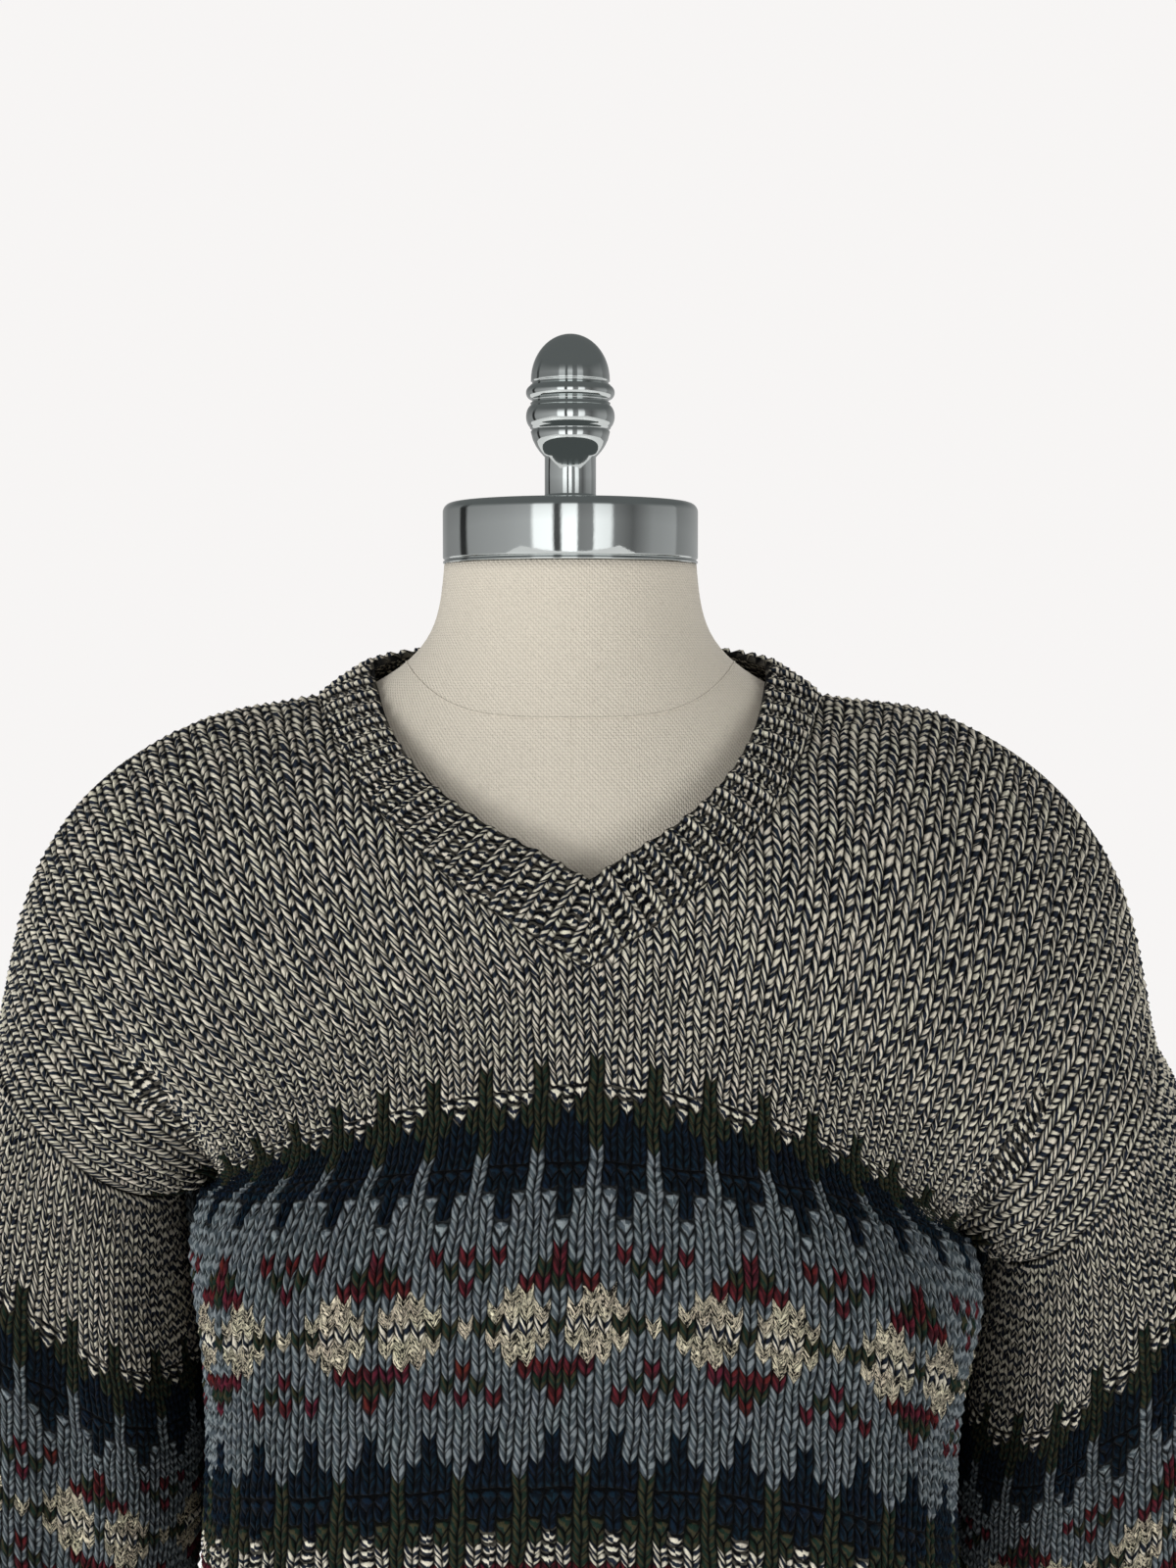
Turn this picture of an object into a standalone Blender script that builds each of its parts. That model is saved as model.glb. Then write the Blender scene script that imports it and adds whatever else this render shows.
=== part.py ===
# A V-neck, drop-shoulder pullover in chunky marled knit, worn by a limbless dress form on a counter stand.
# Metres, +Z up. The front faces -Y, "right" is +X and "left" is -X, as seen from the front.
# The origin is the centre of the base's underside. Heights of the garment and the form are counted from the
# rim of the neck cap, so they are mostly negative.

import math

import bmesh
import bpy
import numpy as np
from mathutils import Vector
from mathutils.bvhtree import BVHTree


def table(names, *rows):
    """Rows of named columns."""
    return [dict(zip(names.split(), row)) for row in rows]


# Driving sizes
RIM_HEIGHT = 1.02
CLOTH_WALL = 0.003
SEAM_HALF_GAP = 0.0003
REST_GAP = 0.0003

# Garment, measured along the knitting from the shoulder seam
ARMHOLE_DEPTH = 0.235
PANEL_LENGTH = 0.63
GARMENT_LENGTH = 0.70
SHOULDER_SHARE = 0.335
SLEEVE_LENGTH = 0.40
SLEEVE_AND_CUFF = 0.47
FRONT, BACK = -1, 1
RIGHT, LEFT = 1, -1

# Armhole ring: the drop-shoulder seam runs round an oval that leans outward and sags in front and behind
RING_DEPTH = 0.070
SHOULDER_FALL = math.radians(80)
RING = {
    RIGHT: {
        "x": 0.2470,
        "z": -0.2830,
        "radius": 0.0632,
        "lean": math.radians(50.8),
        "sag": 0.020,
        "waist": 0.004,
    },
    LEFT: {
        "x": 0.2360,
        "z": -0.2655,
        "radius": 0.0585,
        "lean": math.radians(40.5),
        "sag": 0.011,
        "waist": 0.0,
    },
}
SLEEVE_MEAN = {"x": 0.240, "radius": 0.0610}
V_POINT_SHIFT = 0.0086

# Neck edge of the front, from the shoulder seam to the V point, and the free edge of its band
FRONT_NECK = table(
    "v share x y z in_x in_y in_z",
    (0.000, 0.335, 0.124, -0.000, -0.064, 0.0985, -0.001, -0.048),
    (0.036, 0.318, 0.109, -0.047, -0.088, 0.0865, -0.048, -0.077),
    (0.070, 0.272, 0.088, -0.082, -0.117, 0.0675, -0.079, -0.101),
    (0.098, 0.186, 0.058, -0.1035, -0.144, 0.0425, -0.097, -0.120),
    (0.121, 0.096, 0.029, -0.1135, -0.165, 0.0200, -0.1055, -0.132),
    (0.141, 0.000, 0.000, -0.118, -0.182, 0.0000, -0.110, -0.1435),
)
BACK_NECK = table(
    "v share x y z in_x in_y in_z",
    (0.0000, 0.335, 0.124, 0.000, -0.064, 0.0985, -0.001, -0.048),
    (0.0180, 0.280, 0.108, 0.046, -0.0625, 0.0830, 0.036, -0.0425),
    (0.0370, 0.165, 0.066, 0.083, -0.0630, 0.0500, 0.065, -0.0400),
    (0.0500, 0.000, 0.000, 0.097, -0.0640, 0.0000, 0.077, -0.0385),
)
NECK_POINT_V = {FRONT: 0.141, BACK: 0.050}

# Centre line of each panel below its neck point
CENTRE = {
    FRONT: table(
        "v y z",
        (0.141, -0.118, -0.182),
        (0.185, -0.1255, -0.225),
        (0.235, -0.1300, -0.274),
        (0.320, -0.1320, -0.358),
        (0.450, -0.1310, -0.487),
        (0.580, -0.1330, -0.616),
        (0.700, -0.1360, -0.735),
    ),
    BACK: table(
        "v y z",
        (0.050, 0.097, -0.064),
        (0.092, 0.109, -0.106),
        (0.160, 0.119, -0.176),
        (0.252, 0.122, -0.270),
        (0.364, 0.118, -0.385),
        (0.509, 0.119, -0.535),
        (0.700, 0.126, -0.735),
    ),
}

# Side seam, as steps from the underarm point
SIDE_SEAM = table(
    "v inward drop",
    (0.235, 0.0000, 0.000),
    (0.262, 0.0045, 0.027),
    (0.284, 0.0110, 0.048),
    (0.307, 0.0150, 0.070),
    (0.338, 0.0175, 0.100),
    (0.400, 0.0160, 0.160),
    (0.500, 0.0100, 0.256),
    (0.600, 0.0050, 0.352),
    (0.700, 0.0030, 0.448),
)

# How far a knitted row runs outward from its inner end before it starts to turn, and how far it falls there
ROW_START = table(
    "v run fall",
    (0.000, 0.100, 0.028),
    (0.070, 0.095, 0.024),
    (0.141, 0.130, 0.020),
    (0.235, 0.152, 0.010),
    (0.700, 0.158, 0.006),
)
SIDE_BOXINESS = 0.85

# Crease between chest and arm, and the long fold down the front of each sleeve
ARMPIT_CREASE = {
    "depth": {FRONT: 0.015, BACK: 0.010},
    "width": 0.012,
    "starts": (0.050, 0.175),
    "ends": (0.245, 0.330),
    "place": [(0.06, 0.066), (0.21, 0.026), (0.24, 0.024), (0.33, 0.034)],
}
SLEEVE_CREASE = {
    "depth": {FRONT: 0.013, BACK: 0.007},
    "angle": {FRONT: math.radians(99), BACK: math.radians(80)},
    "width": 0.27,
    "starts": (0.005, 0.075),
    "ends": (0.16, 0.36),
}

# Sleeve and cuff: the middle of each section, its lean, and its half width and half depth
SLEEVE = table(
    "d out down lean wide deep sag",
    (0.000, 0.0000, 0.0000, 1.00, 0.0000, 0.0700, 0.000),
    (0.035, 0.0095, 0.0340, 0.90, 0.0080, 0.0670, 0.008),
    (0.070, 0.0170, 0.0700, 0.78, 0.0150, 0.0630, 0.015),
    (0.120, 0.0185, 0.1200, 0.58, 0.0150, 0.0590, 0.018),
    (0.180, 0.0200, 0.1800, 0.42, 0.0120, 0.0550, 0.016),
    (0.260, 0.0290, 0.2590, 0.32, 0.0070, 0.0520, 0.010),
    (0.340, 0.0410, 0.3370, 0.26, 0.0000, 0.0490, 0.004),
    (0.382, 0.0470, 0.3780, 0.24, -0.008, 0.0450, 0.001),
    (0.400, 0.0500, 0.3950, 0.24, -0.0195, 0.0385, 0.000),
    (0.430, 0.0560, 0.4240, 0.22, -0.0225, 0.0365, 0.000),
    (0.470, 0.0630, 0.4620, 0.22, -0.0230, 0.0360, 0.000),
)

# Ribbing: how high each rib stands over the valley beside it, and the valleys in each piece
RIB_HEIGHT = 0.0014
BAND_STEPS = {FRONT: 4, BACK: 3}
BAND_CROWN = 0.0012
HEM_RIBS = 92
CUFF_RIBS = 20

# Divisions of the cloth grids
NECK_COLUMNS = 8
SHOULDER_COLUMNS = 7
ARMHOLE_ROWS = 9
SIDE_ROWS = 10
SLEEVE_DIVISIONS = [0.0, 0.02, 0.04, 0.065, 0.095, 0.13, 0.17, 0.215, 0.26, 0.305, 0.345, 0.372, 0.388, 0.40]

# Dress form: half width and height at the sides, depth and height in front and behind
FORM = table(
    "wide z front front_z back back_z ridge",
    (0.0618, -0.0003, 0.0618, -0.0003, 0.0618, -0.0003, 2),
    (0.0632, -0.0170, 0.0622, -0.0200, 0.0622, -0.0160, 2),
    (0.0672, -0.0330, 0.0645, -0.0450, 0.0640, -0.0320, 3),
    (0.0790, -0.0475, 0.0700, -0.0730, 0.0690, -0.0480, 4),
    (0.1000, -0.0600, 0.0780, -0.0950, 0.0790, -0.0680, 6),
    (0.1350, -0.0722, 0.0870, -0.1200, 0.0890, -0.0960, 7),
    (0.1700, -0.0850, 0.0960, -0.1450, 0.0980, -0.1270, 7),
    (0.1980, -0.1010, 0.1035, -0.1700, 0.1040, -0.1560, 6),
    (0.2100, -0.1260, 0.1090, -0.1940, 0.1080, -0.1830, 5),
    (0.2100, -0.1600, 0.1135, -0.2180, 0.1100, -0.2100, 4),
    (0.1990, -0.2050, 0.1175, -0.2450, 0.1100, -0.2400, 3),
    (0.1740, -0.2550, 0.1200, -0.2800, 0.1090, -0.2760, 2),
    (0.1570, -0.3150, 0.1200, -0.3280, 0.1050, -0.3250, 2),
    (0.1480, -0.3900, 0.1120, -0.3960, 0.0970, -0.3940, 2),
    (0.1460, -0.4600, 0.1045, -0.4600, 0.0940, -0.4600, 2),
    (0.1520, -0.5400, 0.1060, -0.5400, 0.1000, -0.5400, 2),
    (0.1620, -0.6200, 0.1110, -0.6200, 0.1070, -0.6200, 2),
    (0.1630, -0.6850, 0.1120, -0.6850, 0.1080, -0.6850, 2),
    (0.1570, -0.7000, 0.1070, -0.7000, 0.1030, -0.7000, 2),
)
FORM_SQUARENESS = 2.15
FORM_SIDES = 40
SETTLE_GAP = 0.0021
SETTLED_LEVELS = range(4, 13)
SEAT_GAP = 0.0006
SEAT_LEVELS = (6, 7)
SEAT_SIDE = 0.90

# Chrome parts and the stand
CAP = {"radius": 0.0622, "height": 0.0295, "edge": 0.0045}
FINIAL = {
    "height": 0.0817,
    "flare": 0.0160,
    "flare_foot": (0.0137, 0.0012),
    "stem": 0.0125,
    "stem_foot": 0.0030,
    "stem_head": 0.0222,
    "bowl": [(0.0152, 0.0252), (0.0188, 0.0315)],
    "lower_bead": {"radius": 0.0216, "z": 0.0418, "thick": 0.0036, "tall": 0.0056},
    "lower_groove": 0.0490,
    "upper_bead": {"radius": 0.0216, "z": 0.0533, "thick": 0.0030, "tall": 0.0032},
    "upper_groove": 0.0575,
    "groove": 0.0187,
    "dome": {"radius": 0.0192, "z": 0.0595},
}
POST_RADIUS = 0.0125
BASE = {"radius": 0.170, "thickness": 0.012, "edge": 0.004, "collar": 0.024, "collar_top": 0.026}
TURNED_SIDES = 32

COLOURS = {
    "marl": (0.30, 0.27, 0.22, 0.95, 0.0),
    "marl_rib": (0.27, 0.24, 0.20, 0.95, 0.0),
    "linen": (0.69, 0.63, 0.52, 0.85, 0.0),
    "chrome": (0.62, 0.63, 0.64, 0.10, 1.0),
    "steel": (0.50, 0.51, 0.52, 0.28, 1.0),
}


def read(table, key, column, at):
    """One column of a table at the given key values, on a smooth curve through its rows."""
    x = np.array([row[key] for row in table])
    y = np.array([row[column] for row in table])
    at = np.clip(np.asarray(at, dtype=float), x[0], x[-1])
    slopes = np.gradient(y, x)
    i = np.clip(np.searchsorted(x, at, side="right") - 1, 0, len(x) - 2)
    step = x[i + 1] - x[i]
    t = (at - x[i]) / step
    start = (1 + 2 * t) * (1 - t) ** 2 * y[i] + t * (1 - t) ** 2 * step * slopes[i]
    return start + t * t * (3 - 2 * t) * y[i + 1] + t * t * (t - 1) * step * slopes[i + 1]


def ease(x, low, high):
    """0 below low and 1 above high, with a smooth step between."""
    t = np.clip((np.asarray(x, dtype=float) - low) / (high - low), 0, 1)
    return t * t * (3 - 2 * t)


def points(x, y, z):
    return np.stack(np.broadcast_arrays(x, y, z), axis=-1).astype(float)


def neck_table(face):
    return FRONT_NECK if face == FRONT else BACK_NECK


def neck_share(face, v):
    """Share of the half row at which the knitting starts: 0 below the neck point."""
    return np.where(v < NECK_POINT_V[face], read(neck_table(face), "v", "share", v), 0.0)


def neck_edge(half, face, v, inner=False):
    """The seamed edge of the neck at depth v, or the free edge of the band there."""
    table = neck_table(face)
    names = ("in_x", "in_y", "in_z") if inner else ("x", "y", "z")
    x, y, z = (read(table, "v", name, v) for name in names)
    shift = V_POINT_SHIFT * (1 - x / read(table, "v", names[0], 0.0)) if face == FRONT else 0.0
    return points(half * x + shift, y, z)


def row_start(half, face, v):
    """Inner end of a knitted row: on the neck edge, or on the panel's centre line below it."""
    shift = V_POINT_SHIFT * (1 - ease(v, 0.16, 0.45)) if face == FRONT else 0.0
    centre = points(shift, read(CENTRE[face], "v", "y", v), read(CENTRE[face], "v", "z", v))
    return np.where((v < NECK_POINT_V[face])[..., None], neck_edge(half, face, v), centre)


def ring_point(half, face, angle):
    """A point of the armhole seam: angle 0 at the shoulder, pi at the underarm."""
    ring = RING[half]
    up = ring["radius"] * np.cos(angle)
    return points(
        half * (ring["x"] + up * math.cos(ring["lean"])),
        face * RING_DEPTH * np.sin(angle),
        ring["z"] + up * math.sin(ring["lean"]) - ring["sag"] * np.sin(angle),
    )


def body_points(half, face, v, share):
    """Outer surface of a panel: v is the distance down the knitting, share runs from centre to edge."""
    v, share = np.broadcast_arrays(np.asarray(v, dtype=float), np.asarray(share, dtype=float))
    angle = math.pi * np.clip(v / ARMHOLE_DEPTH, 0, 1)
    at_ring = ring_point(half, face, angle)
    across = math.pi / 2 - RING[half]["lean"]
    fall = np.interp(angle, [0, math.pi / 2, math.pi], [SHOULDER_FALL, across, 0.0])
    reach = np.interp(angle, [0, math.pi / 2, math.pi], [0.110, 0.050, 0.022])
    ring_handle = at_ring - reach[..., None] * points(half * np.cos(fall), 0 * v, -np.sin(fall))
    start = row_start(half, face, v)
    underarm = ring_point(half, face, math.pi)
    waist = RING[half]["waist"] * ease(v, 0.25, 0.33)
    side_x = underarm[0] - half * (read(SIDE_SEAM, "v", "inward", v) + waist)
    side = points(side_x, 0 * v, underarm[2] - read(SIDE_SEAM, "v", "drop", v))
    end = np.where((v <= ARMHOLE_DEPTH)[..., None], at_ring, side)
    side_handle = end + points(0 * v, SIDE_BOXINESS * start[..., 1], 0 * v)
    blend = ease(v, 0.80 * ARMHOLE_DEPTH, 1.25 * ARMHOLE_DEPTH)[..., None]
    end_handle = (1 - blend) * ring_handle + blend * side_handle
    run, drop = read(ROW_START, "v", "run", v), read(ROW_START, "v", "fall", v)
    start_handle = start + points(half * run, 0 * v, -drop)

    def along(t):
        t = t[..., None]
        return (
            (1 - t) ** 3 * start
            + 3 * t * (1 - t) ** 2 * start_handle
            + 3 * t * t * (1 - t) * end_handle
            + t**3 * end
        )

    samples = np.linspace(0, 1, 41)
    track = np.stack([along(np.full(v.shape, t)) for t in samples])
    steps = np.linalg.norm(np.diff(track, axis=0), axis=-1)
    length = np.concatenate([np.zeros((1, *v.shape)), steps.cumsum(axis=0)])
    first = neck_share(face, v)
    wanted = np.clip((share - first) / (1 - first), 0, 1) * length[-1]
    i = np.clip((length < wanted).sum(axis=0) - 1, 0, len(samples) - 2)
    low = np.take_along_axis(length, i[None], axis=0)[0]
    high = np.take_along_axis(length, i[None] + 1, axis=0)[0]
    t = (i + (wanted - low) / np.maximum(high - low, 1e-9)) / (len(samples) - 1)
    place = along(np.clip(t, 0, 1))
    crease = ARMPIT_CREASE
    from_edge = length[-1] - wanted
    middle = np.interp(v, [row[0] for row in crease["place"]], [row[1] for row in crease["place"]])
    depth = crease["depth"][face] * ease(v, *crease["starts"]) * (1 - ease(v, *crease["ends"]))
    depth = depth * np.exp(-(((from_edge - middle) / crease["width"]) ** 2)) * ease(from_edge, 0, 0.012)
    return place + depth[..., None] * points(-0.35 * half, -0.94 * face, 0.0)


def sleeve_points(half, face, d, angle):
    """Outer surface of a sleeve and its cuff at distance d from the armhole seam."""
    ring = RING[half]
    lean = ring["lean"] * read(SLEEVE, "d", "lean", d)
    crease = SLEEVE_CREASE
    bulge = np.exp(-(((angle - crease["angle"][face]) / crease["width"]) ** 2))
    fold = crease["depth"][face] * ease(d, *crease["starts"]) * (1 - ease(d, *crease["ends"]))
    settle = ease(d, 0.0, 0.10)
    wide = ring["radius"] * (1 - settle) + SLEEVE_MEAN["radius"] * settle + read(SLEEVE, "d", "wide", d)
    middle = ring["x"] * (1 - settle) + SLEEVE_MEAN["x"] * settle
    deep = read(SLEEVE, "d", "deep", d) - fold * bulge
    out = middle + read(SLEEVE, "d", "out", d) + wide * np.cos(angle) * np.cos(lean)
    up = ring["z"] - read(SLEEVE, "d", "down", d) + wide * np.cos(angle) * np.sin(lean)
    sag = ring["sag"] * (1 - ease(d, 0.05, 0.40)) + read(SLEEVE, "d", "sag", d)
    return points(half * out, face * deep * np.sin(angle), up - sag * np.sin(angle))


def panel_grid(face):
    """Rows by columns of a front or back panel. The top row follows the shoulder seams and the neck edge."""
    table = neck_table(face)
    neck_v = np.linspace(NECK_POINT_V[face], 0, NECK_COLUMNS + 1)
    shoulder = np.linspace(SHOULDER_SHARE, 1, SHOULDER_COLUMNS + 1)[1:]
    shares = np.concatenate([neck_share(face, neck_v), shoulder])
    tops = np.concatenate([neck_v, np.zeros(SHOULDER_COLUMNS)])
    shares[0] = 0
    shares[NECK_COLUMNS] = table[0]["share"]
    rows = np.concatenate(
        [
            np.linspace(0, ARMHOLE_DEPTH, ARMHOLE_ROWS + 1),
            np.linspace(ARMHOLE_DEPTH, PANEL_LENGTH, SIDE_ROWS + 1)[1:],
        ]
    )
    v = rows[:, None] + tops[None, :] * (1 - rows[:, None] / PANEL_LENGTH)
    right = body_points(RIGHT, face, v, shares[None, :])
    left = body_points(LEFT, face, v, shares[None, :])
    return np.concatenate([left[:, :0:-1], right], axis=1)


def sleeve_grid(half):
    """Rows by columns of a sleeve, once round from the shoulder over the front and back again."""
    angles = np.linspace(0, math.pi, ARMHOLE_ROWS + 1)
    d = np.array(SLEEVE_DIVISIONS)[:, None]
    front = sleeve_points(half, FRONT, d, angles[None, :])
    back = sleeve_points(half, BACK, d, angles[None, :])
    return np.concatenate([front, back[:, -2::-1]], axis=1)


def shared_normals(grids, signs):
    """Outward normals at the points of several grids, averaged where the pieces meet at a seam."""
    stacked = np.concatenate([grid.reshape(-1, 3) for grid in grids])
    _, owner = np.unique(np.round(stacked, 5), axis=0, return_inverse=True)
    owner = owner.reshape(-1)
    total = np.zeros((owner.max() + 1, 3))
    first = 0
    for grid, sign in zip(grids, signs):
        index = owner[first : first + grid.shape[0] * grid.shape[1]].reshape(grid.shape[:2])
        first += index.size
        across = grid[1:, 1:] - grid[:-1, :-1]
        down = grid[1:, :-1] - grid[:-1, 1:]
        normal = sign * np.cross(down, across)
        for corner in (index[:-1, :-1], index[1:, :-1], index[:-1, 1:], index[1:, 1:]):
            np.add.at(total, corner.reshape(-1), normal.reshape(-1, 3))
    total /= np.linalg.norm(total, axis=1, keepdims=True)
    result = []
    first = 0
    for grid in grids:
        count = grid.shape[0] * grid.shape[1]
        result.append(total[owner[first : first + count]].reshape(grid.shape))
        first += count
    return result


def draw_back(grid, bottom=True, sides=True):
    """Pull the edges of a grid in from their seams by half a seam gap."""
    grid = grid.copy()
    pairs = [(np.s_[0, :], np.s_[1, :])]
    if bottom:
        pairs.append((np.s_[-1, :], np.s_[-2, :]))
    if sides:
        pairs.append((np.s_[:, 0], np.s_[:, 1]))
        pairs.append((np.s_[:, -1], np.s_[:, -2]))
    for edge, inside in pairs:
        step = grid[inside] - grid[edge]
        grid[edge] += SEAM_HALF_GAP * step / np.linalg.norm(step, axis=-1, keepdims=True)
    return grid


def material(name):
    made = bpy.data.materials.get(name)
    if made is None:
        red, green, blue, roughness, metallic = COLOURS[name]
        made = bpy.data.materials.new(name)
        made.use_nodes = True
        shader = made.node_tree.nodes["Principled BSDF"]
        shader.inputs["Base Color"].default_value = (red, green, blue, 1)
        shader.inputs["Roughness"].default_value = roughness
        shader.inputs["Metallic"].default_value = metallic
    return made


def new_object(name, mesh, finish):
    made = bpy.data.objects.new(name, mesh)
    mesh.materials.append(material(finish))
    parts.objects.link(made)
    made.location.z = RIM_HEIGHT
    return made


def cloth_wall(name, outer, inner, finish, tube=False):
    """A closed wall between an outer and an inner grid of points."""
    rows, columns = outer.shape[0] - 1, outer.shape[1] - 1
    bm = bmesh.new()
    lining = bm.verts.layers.float_vector.new("lining")
    bmesh.ops.create_grid(bm, x_segments=columns, y_segments=rows, size=0.5)
    for vert in bm.verts:
        column = round((vert.co.x + 0.5) * columns)
        row = round((0.5 - vert.co.y) * rows)
        vert.co = outer[row, column]
        vert[lining] = inner[row, column]
    if tube:
        bmesh.ops.remove_doubles(bm, verts=bm.verts, dist=1e-5)
    copy = bmesh.ops.extrude_face_region(bm, geom=list(bm.faces), use_keep_orig=True)
    for vert in copy["geom"]:
        if isinstance(vert, bmesh.types.BMVert):
            vert.co = vert[lining]
    bmesh.ops.triangulate(bm, faces=bm.faces)
    bmesh.ops.recalc_face_normals(bm, faces=bm.faces)
    mesh = bpy.data.meshes.new(name)
    bm.to_mesh(mesh)
    bm.free()
    mesh.shade_smooth()
    return new_object(name, mesh, finish)


def band_grid():
    """Seam edge, middle and free edge of the neckband, one column for each column of the panels."""
    edges = []
    for inner in (False, True):
        quarters = []
        for half, face, way in ((RIGHT, FRONT, 1), (RIGHT, BACK, -1), (LEFT, BACK, 1), (LEFT, FRONT, -1)):
            v = np.linspace(NECK_POINT_V[face], 0, NECK_COLUMNS + 1)
            quarters.append(neck_edge(half, face, v, inner)[::way][1 if quarters else 0 :])
        edges.append(np.concatenate(quarters))
    seam, free = edges
    return np.stack([seam, (seam + free) / 2, free])


def finer(grid):
    """More columns on the straight lines between those of the band grid, for its ribs."""
    places = [0.0]
    for quarter, face in enumerate((FRONT, BACK, BACK, FRONT)):
        step = BAND_STEPS[face]
        first = quarter * NECK_COLUMNS
        places += list(np.linspace(first, first + NECK_COLUMNS, NECK_COLUMNS * step + 1)[1:])
    columns = np.arange(grid.shape[1])
    rows = [
        np.stack([np.interp(places, columns, row[:, axis]) for axis in range(3)], axis=1)
        for row in grid
    ]
    return np.stack(rows)


def make_knitting():
    """Front, back, sleeves and neckband, as walls that share the directions of their seams."""
    names = ["front", "back", "sleeve_right", "sleeve_left"]
    grids = [panel_grid(FRONT), panel_grid(BACK), sleeve_grid(RIGHT), sleeve_grid(LEFT), band_grid()]
    normals = shared_normals(grids, [1, -1, -1, 1, -1])
    for name, grid, normal in zip(names, grids, normals):
        tube = name.startswith("sleeve")
        outer = draw_back(grid, sides=not tube)
        inner = draw_back(grid - CLOTH_WALL * normal, sides=not tube)
        cloth_wall(name, outer, inner, "marl", tube=tube)
    band, normal = finer(grids[-1]), finer(normals[-1])
    band[1] += BAND_CROWN * normal[1]
    outer = draw_back(ribbed(band, normal), bottom=False, sides=False)
    inner = draw_back(band - CLOTH_WALL * normal, bottom=False, sides=False)
    cloth_wall("neckband", outer, inner, "marl_rib", tube=True)


def ribbed(grid, normal, flat_rows=1):
    """Raise every other column of a grid as a rib, but for its first rows, which are seamed."""
    outer = grid.copy()
    outer[flat_rows:, ::2] += RIB_HEIGHT * normal[flat_rows:, ::2]
    return outer


def make_hem():
    """The ribbed hem, knitted down from both panels as one ring."""
    shares = np.linspace(0, 1, HEM_RIBS // 2 + 1)
    v = np.array([PANEL_LENGTH, PANEL_LENGTH + 0.012, GARMENT_LENGTH])[:, None]
    quarters = [
        body_points(RIGHT, FRONT, v, shares[None, :]),
        body_points(RIGHT, BACK, v, shares[None, ::-1])[:, 1:],
        body_points(LEFT, BACK, v, shares[None, :])[:, 1:],
        body_points(LEFT, FRONT, v, shares[None, ::-1])[:, 1:],
    ]
    grid = np.concatenate(quarters, axis=1)
    (normal,) = shared_normals([grid], [1])
    outer = draw_back(ribbed(grid, normal), bottom=False, sides=False)
    inner = draw_back(grid - CLOTH_WALL * normal, bottom=False, sides=False)
    cloth_wall("hem_rib", outer, inner, "marl_rib", tube=True)


def make_cuff(name, half):
    """A ribbed cuff ring at the end of a sleeve."""
    angles = np.linspace(0, math.pi, CUFF_RIBS + 1)
    d = np.array([SLEEVE_LENGTH, 0.410, 0.430, SLEEVE_AND_CUFF])[:, None]
    front = sleeve_points(half, FRONT, d, angles[None, :])
    back = sleeve_points(half, BACK, d, angles[None, ::-1])[:, 1:]
    grid = np.concatenate([front, back], axis=1)
    (normal,) = shared_normals([grid], [-half])
    outer = draw_back(ribbed(grid, normal), bottom=False, sides=False)
    inner = draw_back(grid - CLOTH_WALL * normal, bottom=False, sides=False)
    cloth_wall(name, outer, inner, "marl_rib", tube=True)


def settled(place, cloth, gap):
    """A point of the form, drawn in along its spoke where the cloth lies on it."""
    place = Vector(place)
    hub = Vector((0.3 * place.x, 0.2 * place.y, min(place.z - 0.03, -0.12) if place.z > -0.2 else place.z))
    spoke = place - hub
    reach = spoke.length
    for tree in cloth:
        hit = tree.ray_cast(hub, spoke.normalized(), reach + 0.01)
        if hit[0] is not None:
            slant = max(abs(hit[1].dot(spoke.normalized())), 0.3)
            reach = min(reach, hit[3] - gap / slant)
    return hub + spoke.normalized() * reach


def make_form():
    """The limbless torso: a stack of rounded sections that fall from the shoulders to the front and back."""
    turn = np.linspace(0, 2 * math.pi, FORM_SIDES, endpoint=False)
    cos, sin = np.cos(turn), np.sin(turn)
    power = 2 / FORM_SQUARENESS
    cloth = []
    for name in ("front", "back", "neckband"):
        bm = bmesh.new()
        bm.from_mesh(bpy.data.objects[name].data)
        cloth.append(BVHTree.FromBMesh(bm))
        bm.free()
    bm = bmesh.new()
    rings = []
    for level, row in enumerate(FORM):
        square = power if level > 4 else 1.0
        x = row["wide"] * np.sign(cos) * np.abs(cos) ** square
        depth = np.where(sin < 0, row["front"], row["back"])
        y = depth * np.sign(sin) * np.abs(sin) ** square
        middle = np.where(sin < 0, row["front_z"], row["back_z"])
        z = middle + (row["z"] - middle) * np.abs(cos) ** row["ridge"]
        ring = []
        for place, side in zip(points(x, y, z), np.abs(cos)):
            if level in SETTLED_LEVELS:
                seated = level in SEAT_LEVELS and side > SEAT_SIDE
                place = settled(place, cloth, SEAT_GAP if seated else SETTLE_GAP)
            ring.append(bm.verts.new(place))
        rings.append(ring)
    for upper, lower in zip(rings, rings[1:]):
        edges = []
        for ring in (upper, lower):
            for a, b in zip(ring, ring[1:] + ring[:1]):
                edges.append(bm.edges.get((a, b)) or bm.edges.new((a, b)))
        bmesh.ops.bridge_loops(bm, edges=edges)
    for ring in (rings[0], rings[-1]):
        bm.faces.new(ring)
    bmesh.ops.triangulate(bm, faces=bm.faces)
    bmesh.ops.recalc_face_normals(bm, faces=bm.faces)
    mesh = bpy.data.meshes.new("form_torso")
    bm.to_mesh(mesh)
    bm.free()
    mesh.shade_smooth()
    return new_object("form_torso", mesh, "linen")


def arc(centre_r, centre_z, radius_r, radius_z, start, end, steps):
    """Profile points on an elliptical arc, angles in degrees from +X towards +Z."""
    angles = np.radians(np.linspace(start, end, steps))
    return [(centre_r + radius_r * math.cos(a), centre_z + radius_z * math.sin(a)) for a in angles]


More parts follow.
